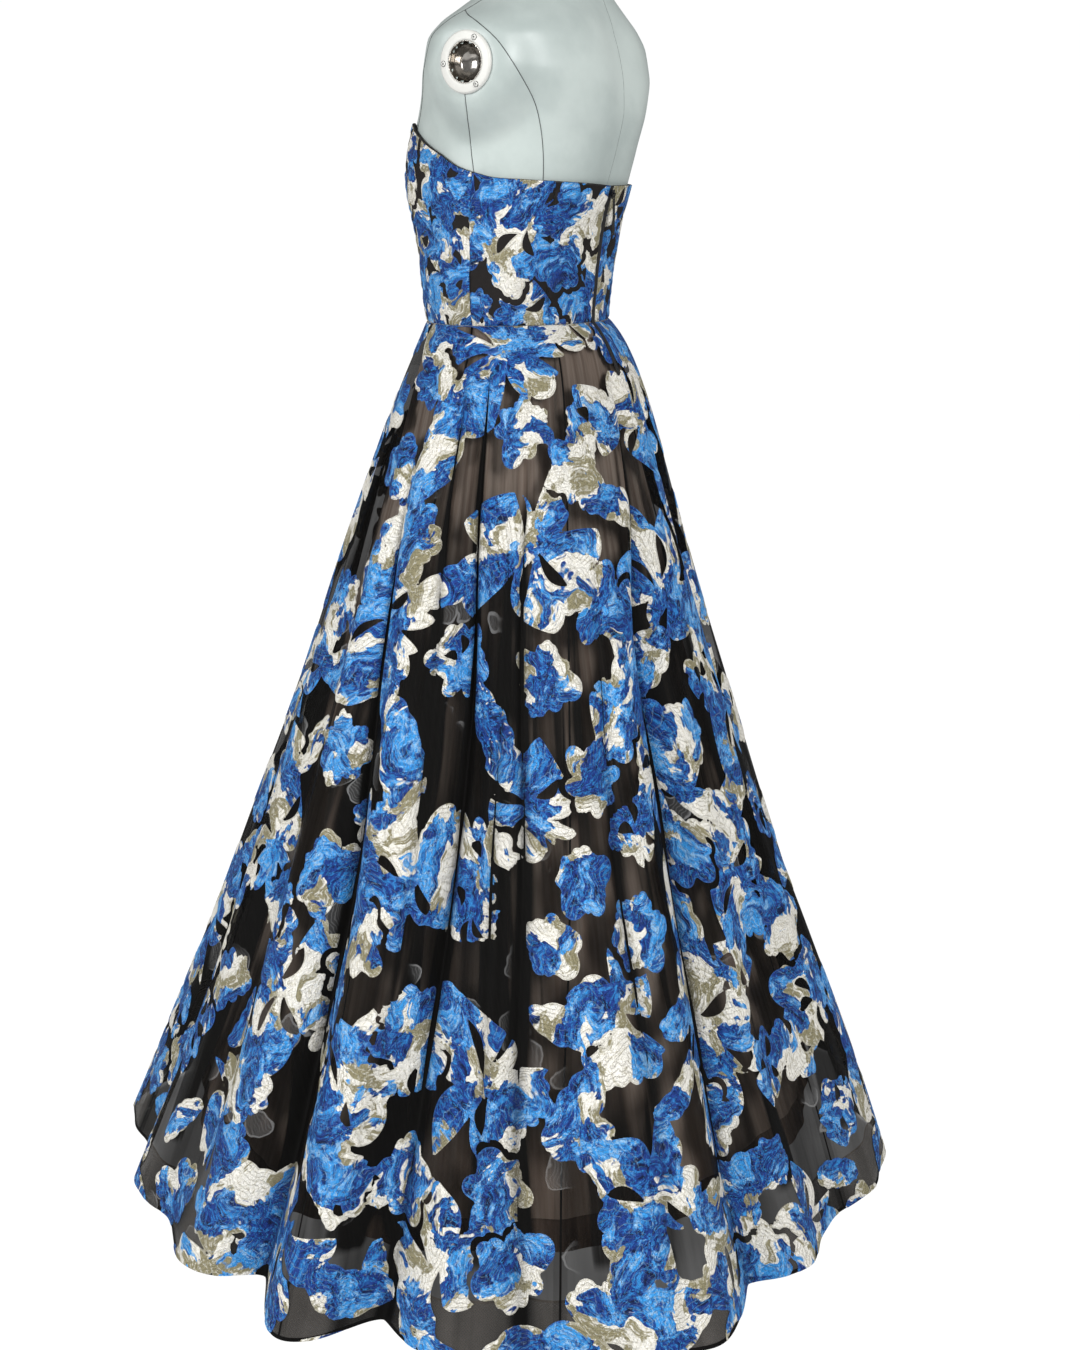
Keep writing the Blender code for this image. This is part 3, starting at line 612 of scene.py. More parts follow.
def make_clusters(random, spots, large, small):
    shapes = []
    for x, y in spots:
        size = random.uniform(*large)
        shapes.append(make_flower(random, x, y, size))
        turn = random.uniform(0.0, 2.0 * np.pi)
        for k in range(int(random.integers(2, 4))):
            turn = turn + random.uniform(1.2, 2.4)
            less = random.uniform(*small)
            away = size * 0.80 + less * random.uniform(0.3, 0.8)
            flower = make_flower(random, x + away * np.cos(turn), y + away * np.sin(turn), less)
            if random.uniform() < 0.6:
                flower["channel"] = turn + np.pi + random.uniform(-0.8, 0.8)
            shapes.append(flower)
        for k in range(int(random.integers(1, 3))):
            turn = turn + random.uniform(1.4, 2.6)
            length = random.uniform(0.45, 0.75) * size
            away = size * 0.85 + length * 0.6
            lean = turn + random.uniform(-0.7, 0.7)
            shapes.append(make_leaf(random, x + away * np.cos(turn), y + away * np.sin(turn), lean, length))
    return shapes


def fill_gaps(random, shapes, inside, box, room, largest):
    """More flowers, each in the widest gap, until no gap is wider than room."""
    spots = []
    while len(spots) < 5000:
        x = random.uniform(box[0], box[1])
        y = random.uniform(box[2], box[3])
        if inside(x, y):
            spots.append((x, y))
    spots = np.array(spots)
    clear = np.full(len(spots), 1.0)
    for shape in shapes:
        reach = 0.90 * shape["size"] if "petals" in shape else 0.45 * shape["length"]
        clear = np.minimum(clear, np.hypot(spots[:, 0] - shape["x"], spots[:, 1] - shape["y"]) - reach)
    while clear.max() > room:
        x, y = spots[clear.argmax()]
        size = min(clear.max() * random.uniform(0.80, 1.05), largest)
        shapes.append(make_flower(random, x, y, size))
        clear = np.minimum(clear, np.hypot(spots[:, 0] - x, spots[:, 1] - y) - size)
    return shapes


def draw_shapes(shapes, x, y):
    field = empty_field(len(x))
    for shape in shapes:
        if "petals" in shape:
            draw_flower(shape, x, y, field)
        else:
            draw_leaf(shape, x, y, field)
    return field


# Node helpers for materials
class Graph:
    """The node tree of a material or of the world, with a short name for each kind of node."""

    def __init__(self, tree):
        self.tree = tree

    def put(self, kind, inputs, **settings):
        node = self.tree.nodes.new(kind)
        for key, value in settings.items():
            setattr(node, key, value)
        for key, value in inputs.items():
            self.join(node.inputs[key], value)
        return node

    def join(self, socket, value):
        if isinstance(value, bpy.types.NodeSocket):
            self.tree.links.new(value, socket)
        else:
            socket.default_value = value

    def surface(self, **values):
        """Sets the shader's own sockets, named with underscores for spaces."""
        for name, value in values.items():
            self.join(self.tree.nodes["Principled BSDF"].inputs[name.replace("_", " ")], value)

    def calc(self, operation, *values):
        return self.put("ShaderNodeMath", dict(enumerate(values)), operation=operation).outputs[0]

    def times(self, first, second):
        return self.calc("MULTIPLY", first, second)

    def times_plus(self, first, second, third):
        return self.calc("MULTIPLY_ADD", first, second, third)

    def without(self, value):
        """1 less the value."""
        return self.calc("SUBTRACT", 1.0, value)

    def ridges(self, value, pitch):
        return self.calc("ABSOLUTE", self.calc("SINE", self.times(value, pitch)))

    def step(self, value, low, high):
        """0 below low and 1 above high, smooth between."""
        inputs = {"Value": value, "From Min": low, "From Max": high}
        return self.put("ShaderNodeMapRange", inputs, interpolation_type="SMOOTHSTEP").outputs["Result"]

    def spread(self, value, low, high):
        inputs = {"Value": value, "To Min": low, "To Max": high}
        return self.put("ShaderNodeMapRange", inputs).outputs["Result"]

    def mix(self, factor, first, second):
        return self.put("ShaderNodeMix", {0: factor, 6: first, 7: second}, data_type="RGBA").outputs[2]

    def noise_node(self, vector, scale, detail=2.0, rough=0.5, distortion=0.0):
        inputs = {"Vector": vector, "Scale": scale, "Detail": detail}
        return self.put("ShaderNodeTexNoise", {**inputs, "Roughness": rough, "Distortion": distortion})

    def noise(self, *values):
        return self.noise_node(*values).outputs["Fac"]

    def bent(self, vector, scale, reach):
        """The vector pushed about by a soft noise."""
        push = {0: self.noise_node(vector, scale, 3.0).outputs["Color"], 1: (reach, reach, 0.0)}
        push = self.put("ShaderNodeVectorMath", push, operation="MULTIPLY").outputs[0]
        return self.put("ShaderNodeVectorMath", {0: vector, 1: push}, operation="ADD").outputs[0]

    def waves(self, vector, scale, inputs, direction="X"):
        inputs = {"Vector": vector, "Scale": scale, **inputs}
        return self.put("ShaderNodeTexWave", inputs, bands_direction=direction).outputs["Fac"]

    def cells(self, vector, scale, **settings):
        inputs = {"Vector": vector, "Scale": scale}
        return self.put("ShaderNodeTexVoronoi", inputs, **settings).outputs["Distance"]

    def uv(self, name):
        return self.put("ShaderNodeUVMap", {}, uv_map=name).outputs["UV"]

    def own_place(self):
        return self.put("ShaderNodeTexCoord", {}).outputs["Object"]

    def moved(self, vector, offset, scale=(1.0, 1.0, 1.0)):
        inputs = {"Vector": vector, "Location": offset, "Scale": scale}
        return self.put("ShaderNodeMapping", inputs).outputs["Vector"]

    def stretched(self, vector, scale):
        return self.moved(vector, (0.0, 0.0, 0.0), scale)

    def split(self, vector):
        node = self.put("ShaderNodeSeparateXYZ", {"Vector": vector})
        return node.outputs[0], node.outputs[1]

    def paired(self, x, y):
        return self.put("ShaderNodeCombineXYZ", {"X": x, "Y": y}).outputs[0]

    def bump(self, height, distance, strength=1.0):
        node = self.put("ShaderNodeBump", {"Height": height, "Distance": distance, "Strength": strength})
        self.surface(Normal=node.outputs["Normal"])


def start_material(name):
    material = bpy.data.materials.new(name)
    material.use_nodes = True
    return material, Graph(material.node_tree)


def linear(red, green, blue):
    """A screen colour of 0 to 255 as linear light."""
    values = []
    for v in (red, green, blue):
        v = v / 255.0
        values.append(v / 12.92 if v <= 0.04045 else ((v + 0.055) / 1.055) ** 2.4)
    return (values[0], values[1], values[2], 1.0)


COBALT = linear(28, 62, 142)
DEEP = linear(2, 16, 52)
AZURE = linear(58, 160, 238)
CREAM = linear(250, 247, 238)
OLIVE = linear(150, 143, 112)
PALE_BLUE = linear(184, 222, 250)
PALE_OLIVE = linear(186, 178, 150)
# Colour of the painted shade at the foot of the skirt's creases
FOLD_SHADE = linear(6, 16, 40)
WHITE = (1.0, 1.0, 1.0, 1.0)


def flower_material(name, shift, reverse=False):
    """Painted and crinkled cloth: blue fields, pale bands with olive, fine stitch lines, a pale rim, and
    painted shade darkening it towards the foot of each crease.
    """
    material, g = start_material(name)
    flat = g.moved(g.uv("flat"), shift)
    rim, cavity = g.split(g.uv("rim"))
    across, along = g.split(g.uv("petal"))
    bent = g.bent(flat, 11.0, 0.11)
    block = g.noise(bent, 17.0, 4.0, 0.58)
    tone = g.noise(g.moved(bent, (3.1, 1.7, 0.0)), 24.0, 4.0, 0.62)
    olive = g.noise(g.moved(bent, (7.3, 4.9, 0.0)), 26.0, 4.0, 0.6)
    mottle = g.noise(bent, 105.0, 4.0, 0.62)
    speck = g.noise(flat, 260.0, 3.0, 0.65)
    stroke = {"Distortion": 16.0, "Detail": 3.0, "Detail Scale": 2.2, "Detail Roughness": 0.65}
    strokes = g.waves(bent, 34.0, stroke)
    hair = g.times(g.step(strokes, 0.62, 0.95), g.step(speck, 0.36, 0.60))
    crinkle = g.cells(flat, 330.0, feature="DISTANCE_TO_EDGE")
    is_azure = g.step(tone, 0.500, 0.550)
    is_olive = g.step(olive, 0.505, 0.535)
    near_rim = g.without(g.step(rim, 0.002, 0.010))
    is_blue = g.step(g.times_plus(near_rim, -0.030, block), 0.452, 0.466)
    darker = g.mix(is_azure, DEEP, COBALT)
    paler = g.mix(is_azure, AZURE, PALE_BLUE)
    blue = g.mix(is_azure, COBALT, AZURE)
    blue = g.mix(g.times(g.step(mottle, 0.50, 0.64), 0.92), blue, darker)
    blue = g.mix(g.times(g.step(speck, 0.48, 0.66), 0.60), blue, darker)
    blue = g.mix(g.times(g.step(mottle, 0.47, 0.34), 0.62), blue, paler)
    blue = g.mix(g.times(hair, 0.60), blue, paler)
    pale = g.mix(is_olive, CREAM, OLIVE)
    pale = g.mix(g.times(hair, 0.55), pale, g.mix(is_olive, PALE_OLIVE, CREAM))
    colour = g.mix(is_blue, pale, blue)
    drift = g.times_plus(speck, 0.05, g.times(block, 0.30))
    vein = g.without(g.step(g.ridges(g.calc("ADD", across, drift), 34.0), 0.05, 0.36))
    arc = g.without(g.step(g.ridges(g.times_plus(tone, 0.020, rim), 620.0), 0.05, 0.42))
    outer = g.step(along, 0.30, 0.50)
    choice = g.step(tone, 0.44, 0.50)
    lines = g.times_plus(arc, choice, g.times(g.without(choice), g.times(vein, outer)))
    colour = g.mix(g.times(lines, 0.24), colour, g.mix(is_blue, PALE_OLIVE, PALE_BLUE))
    off_rim = g.calc("ABSOLUTE", g.calc("SUBTRACT", rim, 0.0012))
    border = g.without(g.step(off_rim, 0.0005, 0.0011))
    edge_colour = g.mix(is_blue, linear(196, 192, 178), linear(60, 104, 176))
    colour = g.mix(g.times(border, 0.50), colour, edge_colour)
    # Painted shade: the colour darkens towards the foot of each crease, by the crease shade map
    colour = g.mix(g.times(g.step(cavity, 0.10, 0.95), 0.72), colour, FOLD_SHADE)
    if reverse:
        stitched = g.times(g.calc("MAXIMUM", lines, border), 0.8)
        colour = g.mix(stitched, linear(150, 148, 142), CREAM)
    relief = g.times_plus(lines, -0.8, g.times(speck, 1.2))
    relief = g.times_plus(g.step(crinkle, 0.0, 0.25), 0.6, relief)
    g.bump(relief, 0.0013)
    g.surface(Base_Color=colour, Roughness=g.spread(speck, 0.44, 0.70), Specular_IOR_Level=0.22)
    return material


def behind_flowers(g, flat):
    """Faint round petals with pale outlines, as flowers of the cloth folded behind show through."""
    bent = g.bent(flat, 16.0, 0.06)
    cell = {"Vector": bent, "Scale": 17.0, "Randomness": 0.9}
    reach = g.put("ShaderNodeTexVoronoi", cell).outputs["Distance"]
    petal = g.without(g.step(reach, 0.36, 0.38))
    off_edge = g.calc("ABSOLUTE", g.calc("SUBTRACT", reach, 0.36))
    outline = g.without(g.step(off_edge, 0.008, 0.022))
    lines = g.waves(bent, 90.0, {"Distortion": 6.0, "Detail": 2.0})
    some = g.step(g.noise(flat, 6.0, 1.0), 0.47, 0.51)
    inner = g.times(petal, g.times_plus(g.step(lines, 0.55, 0.95), 0.26, 0.20))
    return g.times(some, g.calc("MAXIMUM", inner, g.times(outline, 0.90)))


def organza_material():
    """Sheer black cloth with a fine grid of threads, denser at seams and solid at the hem's roll; denser
    towards the foot of the folds, partly for the extra layers there and partly as painted shade, and nearly
    opaque along the creases as painted shade.
    """
    material, g = start_material("black_organza")
    flat = g.uv("flat")
    seam, hem = g.split(g.uv("edge"))
    turn, fold = g.split(g.uv("fold"))
    sharp = g.split(g.uv("cavity"))[0]
    x, y = g.split(flat)
    threads = g.calc("MAXIMUM", g.ridges(x, THREAD_PITCH), g.ridges(y, THREAD_PITCH))
    slub = g.noise(g.stretched(flat, (420.0, 30.0, 1.0)), 1.0, 2.0)
    streak = g.noise(g.paired(g.times(turn, 16.0), g.times(hem, 2.4)), 1.0, 4.0, 0.6, 0.6)
    broad = g.noise(g.paired(g.times(turn, 7.0), g.times(hem, 1.6)), 1.0, 3.0, 0.5, 0.4)
    dense = g.times(g.step(hem, 0.96, 0.66), g.step(broad, 0.49, 0.55))
    dense = g.times(dense, g.step(hem, 0.085, 0.10))
    doubled = g.without(g.step(seam, 0.0070, 0.0085))
    stitched = g.without(g.step(seam, 0.0006, 0.0014))
    rolled = g.without(g.step(hem, 0.0030, 0.0045))
    alpha = g.times_plus(threads, 0.05, 0.49)
    alpha = g.times_plus(slub, 0.03, alpha)
    alpha = g.times_plus(g.step(streak, 0.44, 0.62), 0.07, alpha)
    alpha = g.times_plus(dense, 0.36, alpha)
    # Denser towards the foot of the folds: partly the cloth lying in more layers there, partly painted shade
    alpha = g.times_plus(g.step(fold, 0.25, 0.95), 0.22, alpha)
    # Painted shade: the sheer turns nearly opaque black along the creases
    alpha = g.times_plus(g.step(sharp, 0.15, 0.55), 0.45, alpha)
    alpha = g.times_plus(doubled, 0.10, alpha)
    alpha = g.calc("MINIMUM", g.calc("ADD", alpha, g.calc("ADD", stitched, rolled)), 1.0)
    colour = g.mix(slub, (0.0012, 0.0012, 0.0012, 1.0), (0.006, 0.0055, 0.005, 1.0))
    seen = g.times(behind_flowers(g, flat), g.step(fold, 0.08, 0.35))
    # The painted shade strip along the creases has no faint flowers
    seen = g.times(seen, g.without(g.step(sharp, 0.15, 0.40)))
    colour = g.mix(seen, colour, linear(122, 122, 122))
    g.bump(g.calc("ADD", slub, threads), 0.0002, 0.6)
    g.surface(Alpha=alpha, Base_Color=colour, Roughness=0.55, Specular_IOR_Level=0.06)
    return material


def ground_material():
    """Closed black cloth of the bodice with a fine weave."""
    material, g = start_material("bodice_ground")
    flat = g.uv("flat")
    weave = g.waves(flat, 900.0, {"Distortion": 1.0}, "DIAGONAL")
    cloud = g.noise(flat, 30.0, 4.0, 0.6)
    g.bump(g.times_plus(weave, 0.6, cloud), 0.0004, 0.5)
    g.surface(Base_Color=g.mix(cloud, linear(14, 12, 12), linear(38, 33, 31)))
    g.surface(Roughness=0.66, Specular_IOR_Level=0.20)
    return material


def cloth_material(name, dark, light, rough):
    """Plain lining cloth with vertical streaks and a fine weave."""
    material, g = start_material(name)
    flat = g.uv("flat")
    long = g.noise(g.stretched(flat, (60.0, 4.0, 1.0)), 1.0, 4.0, 0.6)
    weave = g.put("ShaderNodeTexChecker", {"Vector": flat, "Scale": 700.0}).outputs["Fac"]
    g.bump(g.times_plus(long, 3.0, weave), 0.0003, 0.6)
    g.surface(Base_Color=g.mix(g.step(long, 0.30, 0.70), dark, light), Roughness=rough)
    return material


def band_material():
    """Stiff open braid of the hem: crossed slanting threads with gaps."""
    material, g = start_material("hem_braid")
    flat = g.uv("flat")
    x, y = g.split(flat)
    rising = g.step(g.ridges(g.calc("ADD", x, y), BRAID_PITCH), 0.55, 0.95)
    falling = g.step(g.ridges(g.calc("SUBTRACT", x, y), BRAID_PITCH), 0.55, 0.95)
    threads = g.calc("MAXIMUM", rising, falling)
    border = g.without(g.step(g.split(g.uv("edge"))[1], 0.0018, 0.0030))
    alpha = g.times_plus(border, 0.6, g.times_plus(threads, 0.30, 0.44))
    colour = g.mix(g.noise(flat, 40.0, 3.0), linear(132, 124, 115), linear(172, 162, 152))
    g.bump(threads, 0.0003, 0.8)
    g.surface(Alpha=g.calc("MINIMUM", alpha, 1.0), Base_Color=colour, Roughness=0.5)
    return material


def vinyl_material(name, low, high, rough):
    """Satin vinyl cover: fine grain, faint clouding and a few soft marks."""
    material, g = start_material(name)
    spot = g.own_place()
    cloud = g.noise(spot, 7.0, 5.0, 0.6)
    grain = g.noise(spot, 900.0, 2.0, 0.6)
    wrinkle = g.cells(spot, 1100.0, feature="DISTANCE_TO_EDGE")
    marks = g.noise(g.moved(spot, (2.0, 5.0, 1.0)), 28.0, 6.0, 0.7)
    g.bump(g.times_plus(grain, 0.5, wrinkle), 0.00012, 0.5)
    g.surface(Base_Color=g.mix(g.step(cloud, 0.30, 0.70), low, high))
    g.surface(Roughness=g.spread(marks, rough - 0.09, rough + 0.12))
    return material


def metal_material(name, low, high, rough, scratch):
    """Metal with lathe marks or scratches in its shine."""
    material, g = start_material(name)
    fine = g.noise(g.stretched(g.own_place(), scratch), 1.0, 4.0, 0.65)
    g.bump(fine, 0.00005, 0.3)
    g.surface(Base_Color=g.mix(fine, low, high), Metallic=1.0)
    g.surface(Roughness=g.spread(fine, max(rough - 0.06, 0.02), rough + 0.08))
    return material


def plastic_material(name, low, high, rough, ribs=0.0):
    """Moulded or woven trim with speckle; ribs adds a fine rib along its height."""
    material, g = start_material(name)
    spot = g.own_place()
    speck = g.noise(spot, 240.0, 4.0, 0.6)
    relief = speck
    if ribs:
        relief = g.times_plus(g.waves(spot, ribs, {}, "Z"), 1.5, speck)
    g.bump(relief, 0.00015, 0.5)
    g.surface(Base_Color=g.mix(speck, low, high), Roughness=g.spread(speck, rough - 0.05, rough + 0.10))
    return material


FLOWERS = flower_material("flower_cloth", (0.0, 0.0, 0.0))
FLOWERS_BODICE = flower_material("flower_cloth_bodice", (5.0, 2.0, 0.0))
FLOWERS_BACK = flower_material("flower_cloth_wrong_side", (0.0, 0.0, 0.0), True)
ORGANZA = organza_material()
GROUND = ground_material()
LINING = cloth_material("lining_cloth", linear(196, 170, 152), linear(252, 230, 212), 0.70)
UNDER = cloth_material("lining_under_cloth", linear(104, 84, 72), linear(190, 164, 146), 0.75)
BRAID = band_material()
BINDING = plastic_material("binding_cloth", linear(14, 13, 14), linear(38, 35, 34), 0.60, 420.0)
VINYL = vinyl_material("form_vinyl", linear(172, 183, 180), linear(196, 206, 202), 0.37)
SEAM_DARK = plastic_material("form_seam", linear(58, 62, 62), linear(96, 101, 100), 0.65)
SEAM_FAINT = plastic_material("form_seam_faint", linear(112, 120, 118), linear(146, 154, 152), 0.60)
WHITE_PLATE = plastic_material("plate_white", linear(206, 206, 200), linear(222, 222, 217), 0.38)
ZIP_TAPE = plastic_material("zip_tape", linear(10, 10, 11), linear(30, 29, 30), 0.55, 700.0)
ZIP_METAL = plastic_material("zip_metal", linear(9, 9, 10), linear(26, 26, 28), 0.22)
EVEN_MARKS = (900.0, 900.0, 900.0)
SCREW_METAL = metal_material("screw_metal", linear(96, 96, 94), linear(150, 150, 147), 0.36, EVEN_MARKS)
CUP_MARKS = (60.0, 220.0, 220.0)
CHROME = metal_material("socket_chrome", linear(150, 145, 138), linear(200, 196, 190), 0.13, CUP_MARKS)
POLE_MARKS = (900.0, 900.0, 12.0)
STEEL = metal_material("stand_steel", linear(176, 177, 180), linear(206, 207, 210), 0.26, POLE_MARKS)
BASE_MARKS = (14.0, 700.0, 700.0)
BASE_STEEL = metal_material("base_steel", linear(172, 173, 176), linear(204, 205, 208), 0.28, BASE_MARKS)

# The skirt's grid: columns follow the folds down, rows run from the waist to the hem
COLUMN_SCALE = 8
ROW_COUNT = 284
FIRST_LINE = "right front princess"
FLAT_TURN = 2.7
WAIST_ROLL = (0.0, 0.0006, 0.0014, 0.0026)
FLOWER_STREAM = 11
WRONG_SIDE_TOP = 0.20
DEEPEST_CREASE = 0.010
FOLD_SCALE = 40.0


def skirt_rows():
    top = WAIST_HEIGHT - GAP
    rolled = [top - drop for drop in WAIST_ROLL]
    return np.concatenate([rolled, np.linspace(top - 0.0045, HEM_HEIGHT, ROW_COUNT)])


def skirt_grid(heights):
    """Angles by row and column over the whole ring, and the column at which each line starts."""
    first = [line[0] for line in SKIRT_LINES].index(FIRST_LINE)
    lines = SKIRT_LINES[first:] + SKIRT_LINES[:first]
    columns = []
    starts = {}
    for line, follower in zip(lines, lines[1:] + lines[:1]):
        start = np.radians(curve(LINE_HEIGHTS, line[2], heights))
        end = np.radians(curve(LINE_HEIGHTS, follower[2], heights))
        end = start + (end - start) % (2.0 * np.pi)
        starts[line[0]] = len(columns)
        pieces = line[5] * COLUMN_SCALE
        for j in range(pieces):
            columns.append(start + (end - start) * j / pieces)
    columns.append(columns[0] + 2.0 * np.pi)
    return np.unwrap(np.stack(columns, axis=1), axis=1), starts


heights = skirt_rows()
skirt_angle, line_starts = skirt_grid(heights)
skirt_height = np.broadcast_to(heights[:, None], skirt_angle.shape)
skirt_out = skirt_normal(skirt_angle, skirt_height)
roll = -0.0010 * np.exp(-(WAIST_HEIGHT - skirt_height) / 0.0014)
skirt_place = skirt_surface(skirt_angle, skirt_height) + skirt_out * roll[..., None]
ring_steps = np.linalg.norm(np.diff(skirt_place, axis=1), axis=-1)
ring_run = np.concatenate([np.zeros((len(heights), 1)), np.cumsum(ring_steps, axis=1)], axis=1)
ring_length = ring_run[:, -1:]
flat_angle = (ring_run / ring_length - 0.5) * FLAT_TURN
flat_radius = ring_length / FLAT_TURN
skirt_flat = np.stack([flat_radius * np.sin(flat_angle), -flat_radius * np.cos(flat_angle)], axis=-1)
slant = run_along(skirt_place[:, 0])
hem_distance = np.broadcast_to((slant[-1] - slant)[:, None], skirt_angle.shape)

# Flowers of the skirt in its flat cut
random = np.random.default_rng(FLOWER_STREAM)
INNER_RADIUS = float(flat_radius[0, 0])
OUTER_RADIUS = float(flat_radius[-1, 0])


def in_cut(x, y):
    in_ring = INNER_RADIUS - 0.05 < np.hypot(x, y) < OUTER_RADIUS + 0.05
    return in_ring and abs(np.arctan2(x, -y)) < 0.5 * FLAT_TURN + 0.1


CLUSTER_SPACING = 0.158
LARGE_FLOWER = (0.070, 0.104)
SMALL_FLOWER = (0.034, 0.052)
WIDEST_GAP = 0.034
LARGEST_FILLER = 0.060
cut_box = (-OUTER_RADIUS, OUTER_RADIUS, -OUTER_RADIUS, 0.6)
skirt_spots = scatter(random, in_cut, cut_box, CLUSTER_SPACING, 9000)
skirt_shapes = make_clusters(random, skirt_spots, LARGE_FLOWER, SMALL_FLOWER)
skirt_shapes = fill_gaps(random, skirt_shapes, in_cut, cut_box, WIDEST_GAP, LARGEST_FILLER)
skirt_field = draw_shapes(skirt_shapes, skirt_flat[..., 0].ravel(), skirt_flat[..., 1].ravel())

GORES = [
    ("skirt_front", "right front princess", "left front princess"),
    ("skirt_side_front_left", "left front princess", "left side"),
    ("skirt_side_back_left", "left side", "left back princess"),
    ("skirt_back_left", "left back princess", "centre back"),
    ("skirt_back_right", "centre back", "right back princess"),
    ("skirt_side_back_right", "right back princess", "right side"),
    ("skirt_side_front_right", "right side", "right front princess"),
]


def lifted(value):
    """How far the flower cloth stands off the sheer cloth."""
    return 0.0003 + 0.0008 * smooth(np.clip(value / 0.004, 0.0, 1.0))


def add_flowers(name, place, normal, field, flat, shape, material, reverse=False):
    """The flower cloth over one grid: triangles inside the flowers' edge, a little off the ground cloth."""
    place, normal, flat = [data.reshape(-1, data.shape[-1]) for data in (place, normal, flat)]
    value = field["value"]
    faces, low, high, share = cut_faces(value, halves(grid_faces(*shape)))
    share = share[:, None]

    def carried(data):
        return np.concatenate([data, data[low] * (1.0 - share) + data[high] * share])

    rise = np.concatenate([value[:, None], np.zeros((len(low), 1))])
    side = -1.0 if reverse else 1.0
    points = carried(place) + carried(normal) * lifted(rise) * side
    used = np.unique(faces)
    index = np.zeros(len(points), int)
    index[used] = np.arange(len(used))
    faces = index[faces]
    if reverse:
        faces = faces[:, ::-1]
    piece = add_mesh(name, points[used], faces, material)
    rim = np.maximum(field["rim"], 0.0) if "rim" in field else value
    cavity = field.get("cavity", np.zeros(len(place)))
    add_map(piece, "flat", carried(flat)[used])
    add_map(piece, "petal", carried(pairs(field["across"], field["along"]))[used])
    # The rim map's second number is the painted crease shade
    add_map(piece, "rim", np.maximum(carried(pairs(rim, cavity)), 0.0)[used])
    return piece


def beside_zip(place):
    """Distance outside the zip's tape, which the flower cloth leaves free."""
    place = place.reshape(-1, 3)
    beside = np.abs(place[:, 0]) - ZIP_HALF
    far = np.where((place[:, 1] > 0.0) & (place[:, 2] > ZIP_END), beside, 1.0)
    return np.where(place[:, 1] > 0.0, np.maximum(far, 0.5 * (ZIP_END - place[:, 2])), 1.0)


def picked(data, rows, cut):
    """Rows and columns of a grid, as one list."""
    chosen = data[rows][:, cut]
    return chosen.reshape(-1, *chosen.shape[2:])


skirt_radius = np.hypot(skirt_place[..., 0], skirt_place[..., 1])
# Narrow strips at the foot of the creases are kept free of flowers, as painted shade
skirt_shade_strip = crease_shade_strip(skirt_angle, skirt_height, skirt_radius)
skirt_field["rim"] = np.minimum(skirt_field["value"], beside_zip(skirt_place))
skirt_field["value"] = np.minimum(skirt_field["rim"], skirt_shade_strip.ravel())
# Painted shade of the creases: 0 away from them, 1 at the foot of the deepest
skirt_crease_shade = np.clip(crease_depth(skirt_angle, skirt_height) / DEEPEST_CREASE, 0.0, 1.0)
skirt_field["cavity"] = skirt_crease_shade.ravel()
skirt_fold = FOLD_SCALE * fold_depth(skirt_angle, skirt_height)
field_grid = {key: value.reshape(skirt_angle.shape) for key, value in skirt_field.items()}
every_row = np.arange(len(heights))
sheer_rows = np.unique(np.concatenate([every_row[:5], every_row[::3], every_row[-1:]]))
FLOWER_SIDES = [
    ("_flowers", every_row, FLOWERS, False),
    ("_flowers_wrong_side", every_row[heights < WRONG_SIDE_TOP], FLOWERS_BACK, True),
]
for name, first, last in GORES:
    start = line_starts[first]
    end = line_starts[last] if line_starts[last] > start else skirt_angle.shape[1] - 1
    cut = slice(start, end + 1)
    columns = end + 1 - start
    gore_faces = grid_faces(len(sheer_rows), columns)
    gore_place = picked(skirt_place, sheer_rows, cut)
    gore = add_mesh(name + "_organza", gore_place, gore_faces, ORGANZA, name)
    run = ring_run[:, cut]
    seam = np.minimum(run - run[:, :1], run[:, -1:] - run)
    add_map(gore, "flat", picked(skirt_flat, sheer_rows, cut))
    add_map(gore, "edge", pairs(seam[sheer_rows], hem_distance[sheer_rows][:, cut]))
    add_map(gore, "fold", pairs(picked(skirt_angle, sheer_rows, cut), picked(skirt_fold, sheer_rows, cut)))
    # The crease shade map also makes the sheer nearly opaque along the creases, as painted shade
    cavity = picked(skirt_crease_shade, sheer_rows, cut)
    add_map(gore, "cavity", pairs(cavity, cavity))
    flowers = []
    for ending, rows, material, reverse in FLOWER_SIDES:
        place, normal, flat = [picked(data, rows, cut) for data in (skirt_place, skirt_out, skirt_flat)]
        part = {key: picked(grid, rows, cut) for key, grid in field_grid.items()}
        shape = (len(rows), columns)
        flowers.append(add_flowers(name + ending, place, normal, part, flat, shape, material, reverse))
    wide = float(run[-1, -1] - run[-1, 0])

# Bodice: a fine shell for each panel, with a groove at its seams and its top edge turned in
BODICE_PANELS = [
    ("bodice_front", -128.0, -128.0, -52.0, -52.0, 0.00),
    ("bodice_side_front_left", -52.0, -52.0, 8.0, 8.0, 0.00),
    ("bodice_side_back_left", 8.0, 8.0, 50.0, 56.0, 0.21),
    ("bodice_back_left", 50.0, 56.0, 90.0, 90.0, 0.21),
    ("bodice_back_right", 90.0, 90.0, 130.0, 124.0, 0.60),
    ("bodice_side_back_right", 130.0, 124.0, 172.0, 172.0, 0.60),
    ("bodice_side_front_right", 172.0, 172.0, 232.0, 232.0, 0.84),
]
BODICE_ROWS = 100
BODICE_STEP = 0.0020
BODICE_SCALE = 0.125
TURNED_EDGE = ((0.0024, -0.0060), (0.0024, -0.0020), (0.0022, 0.0), (0.0012, 0.0006))


def anywhere(x, y):
    return True


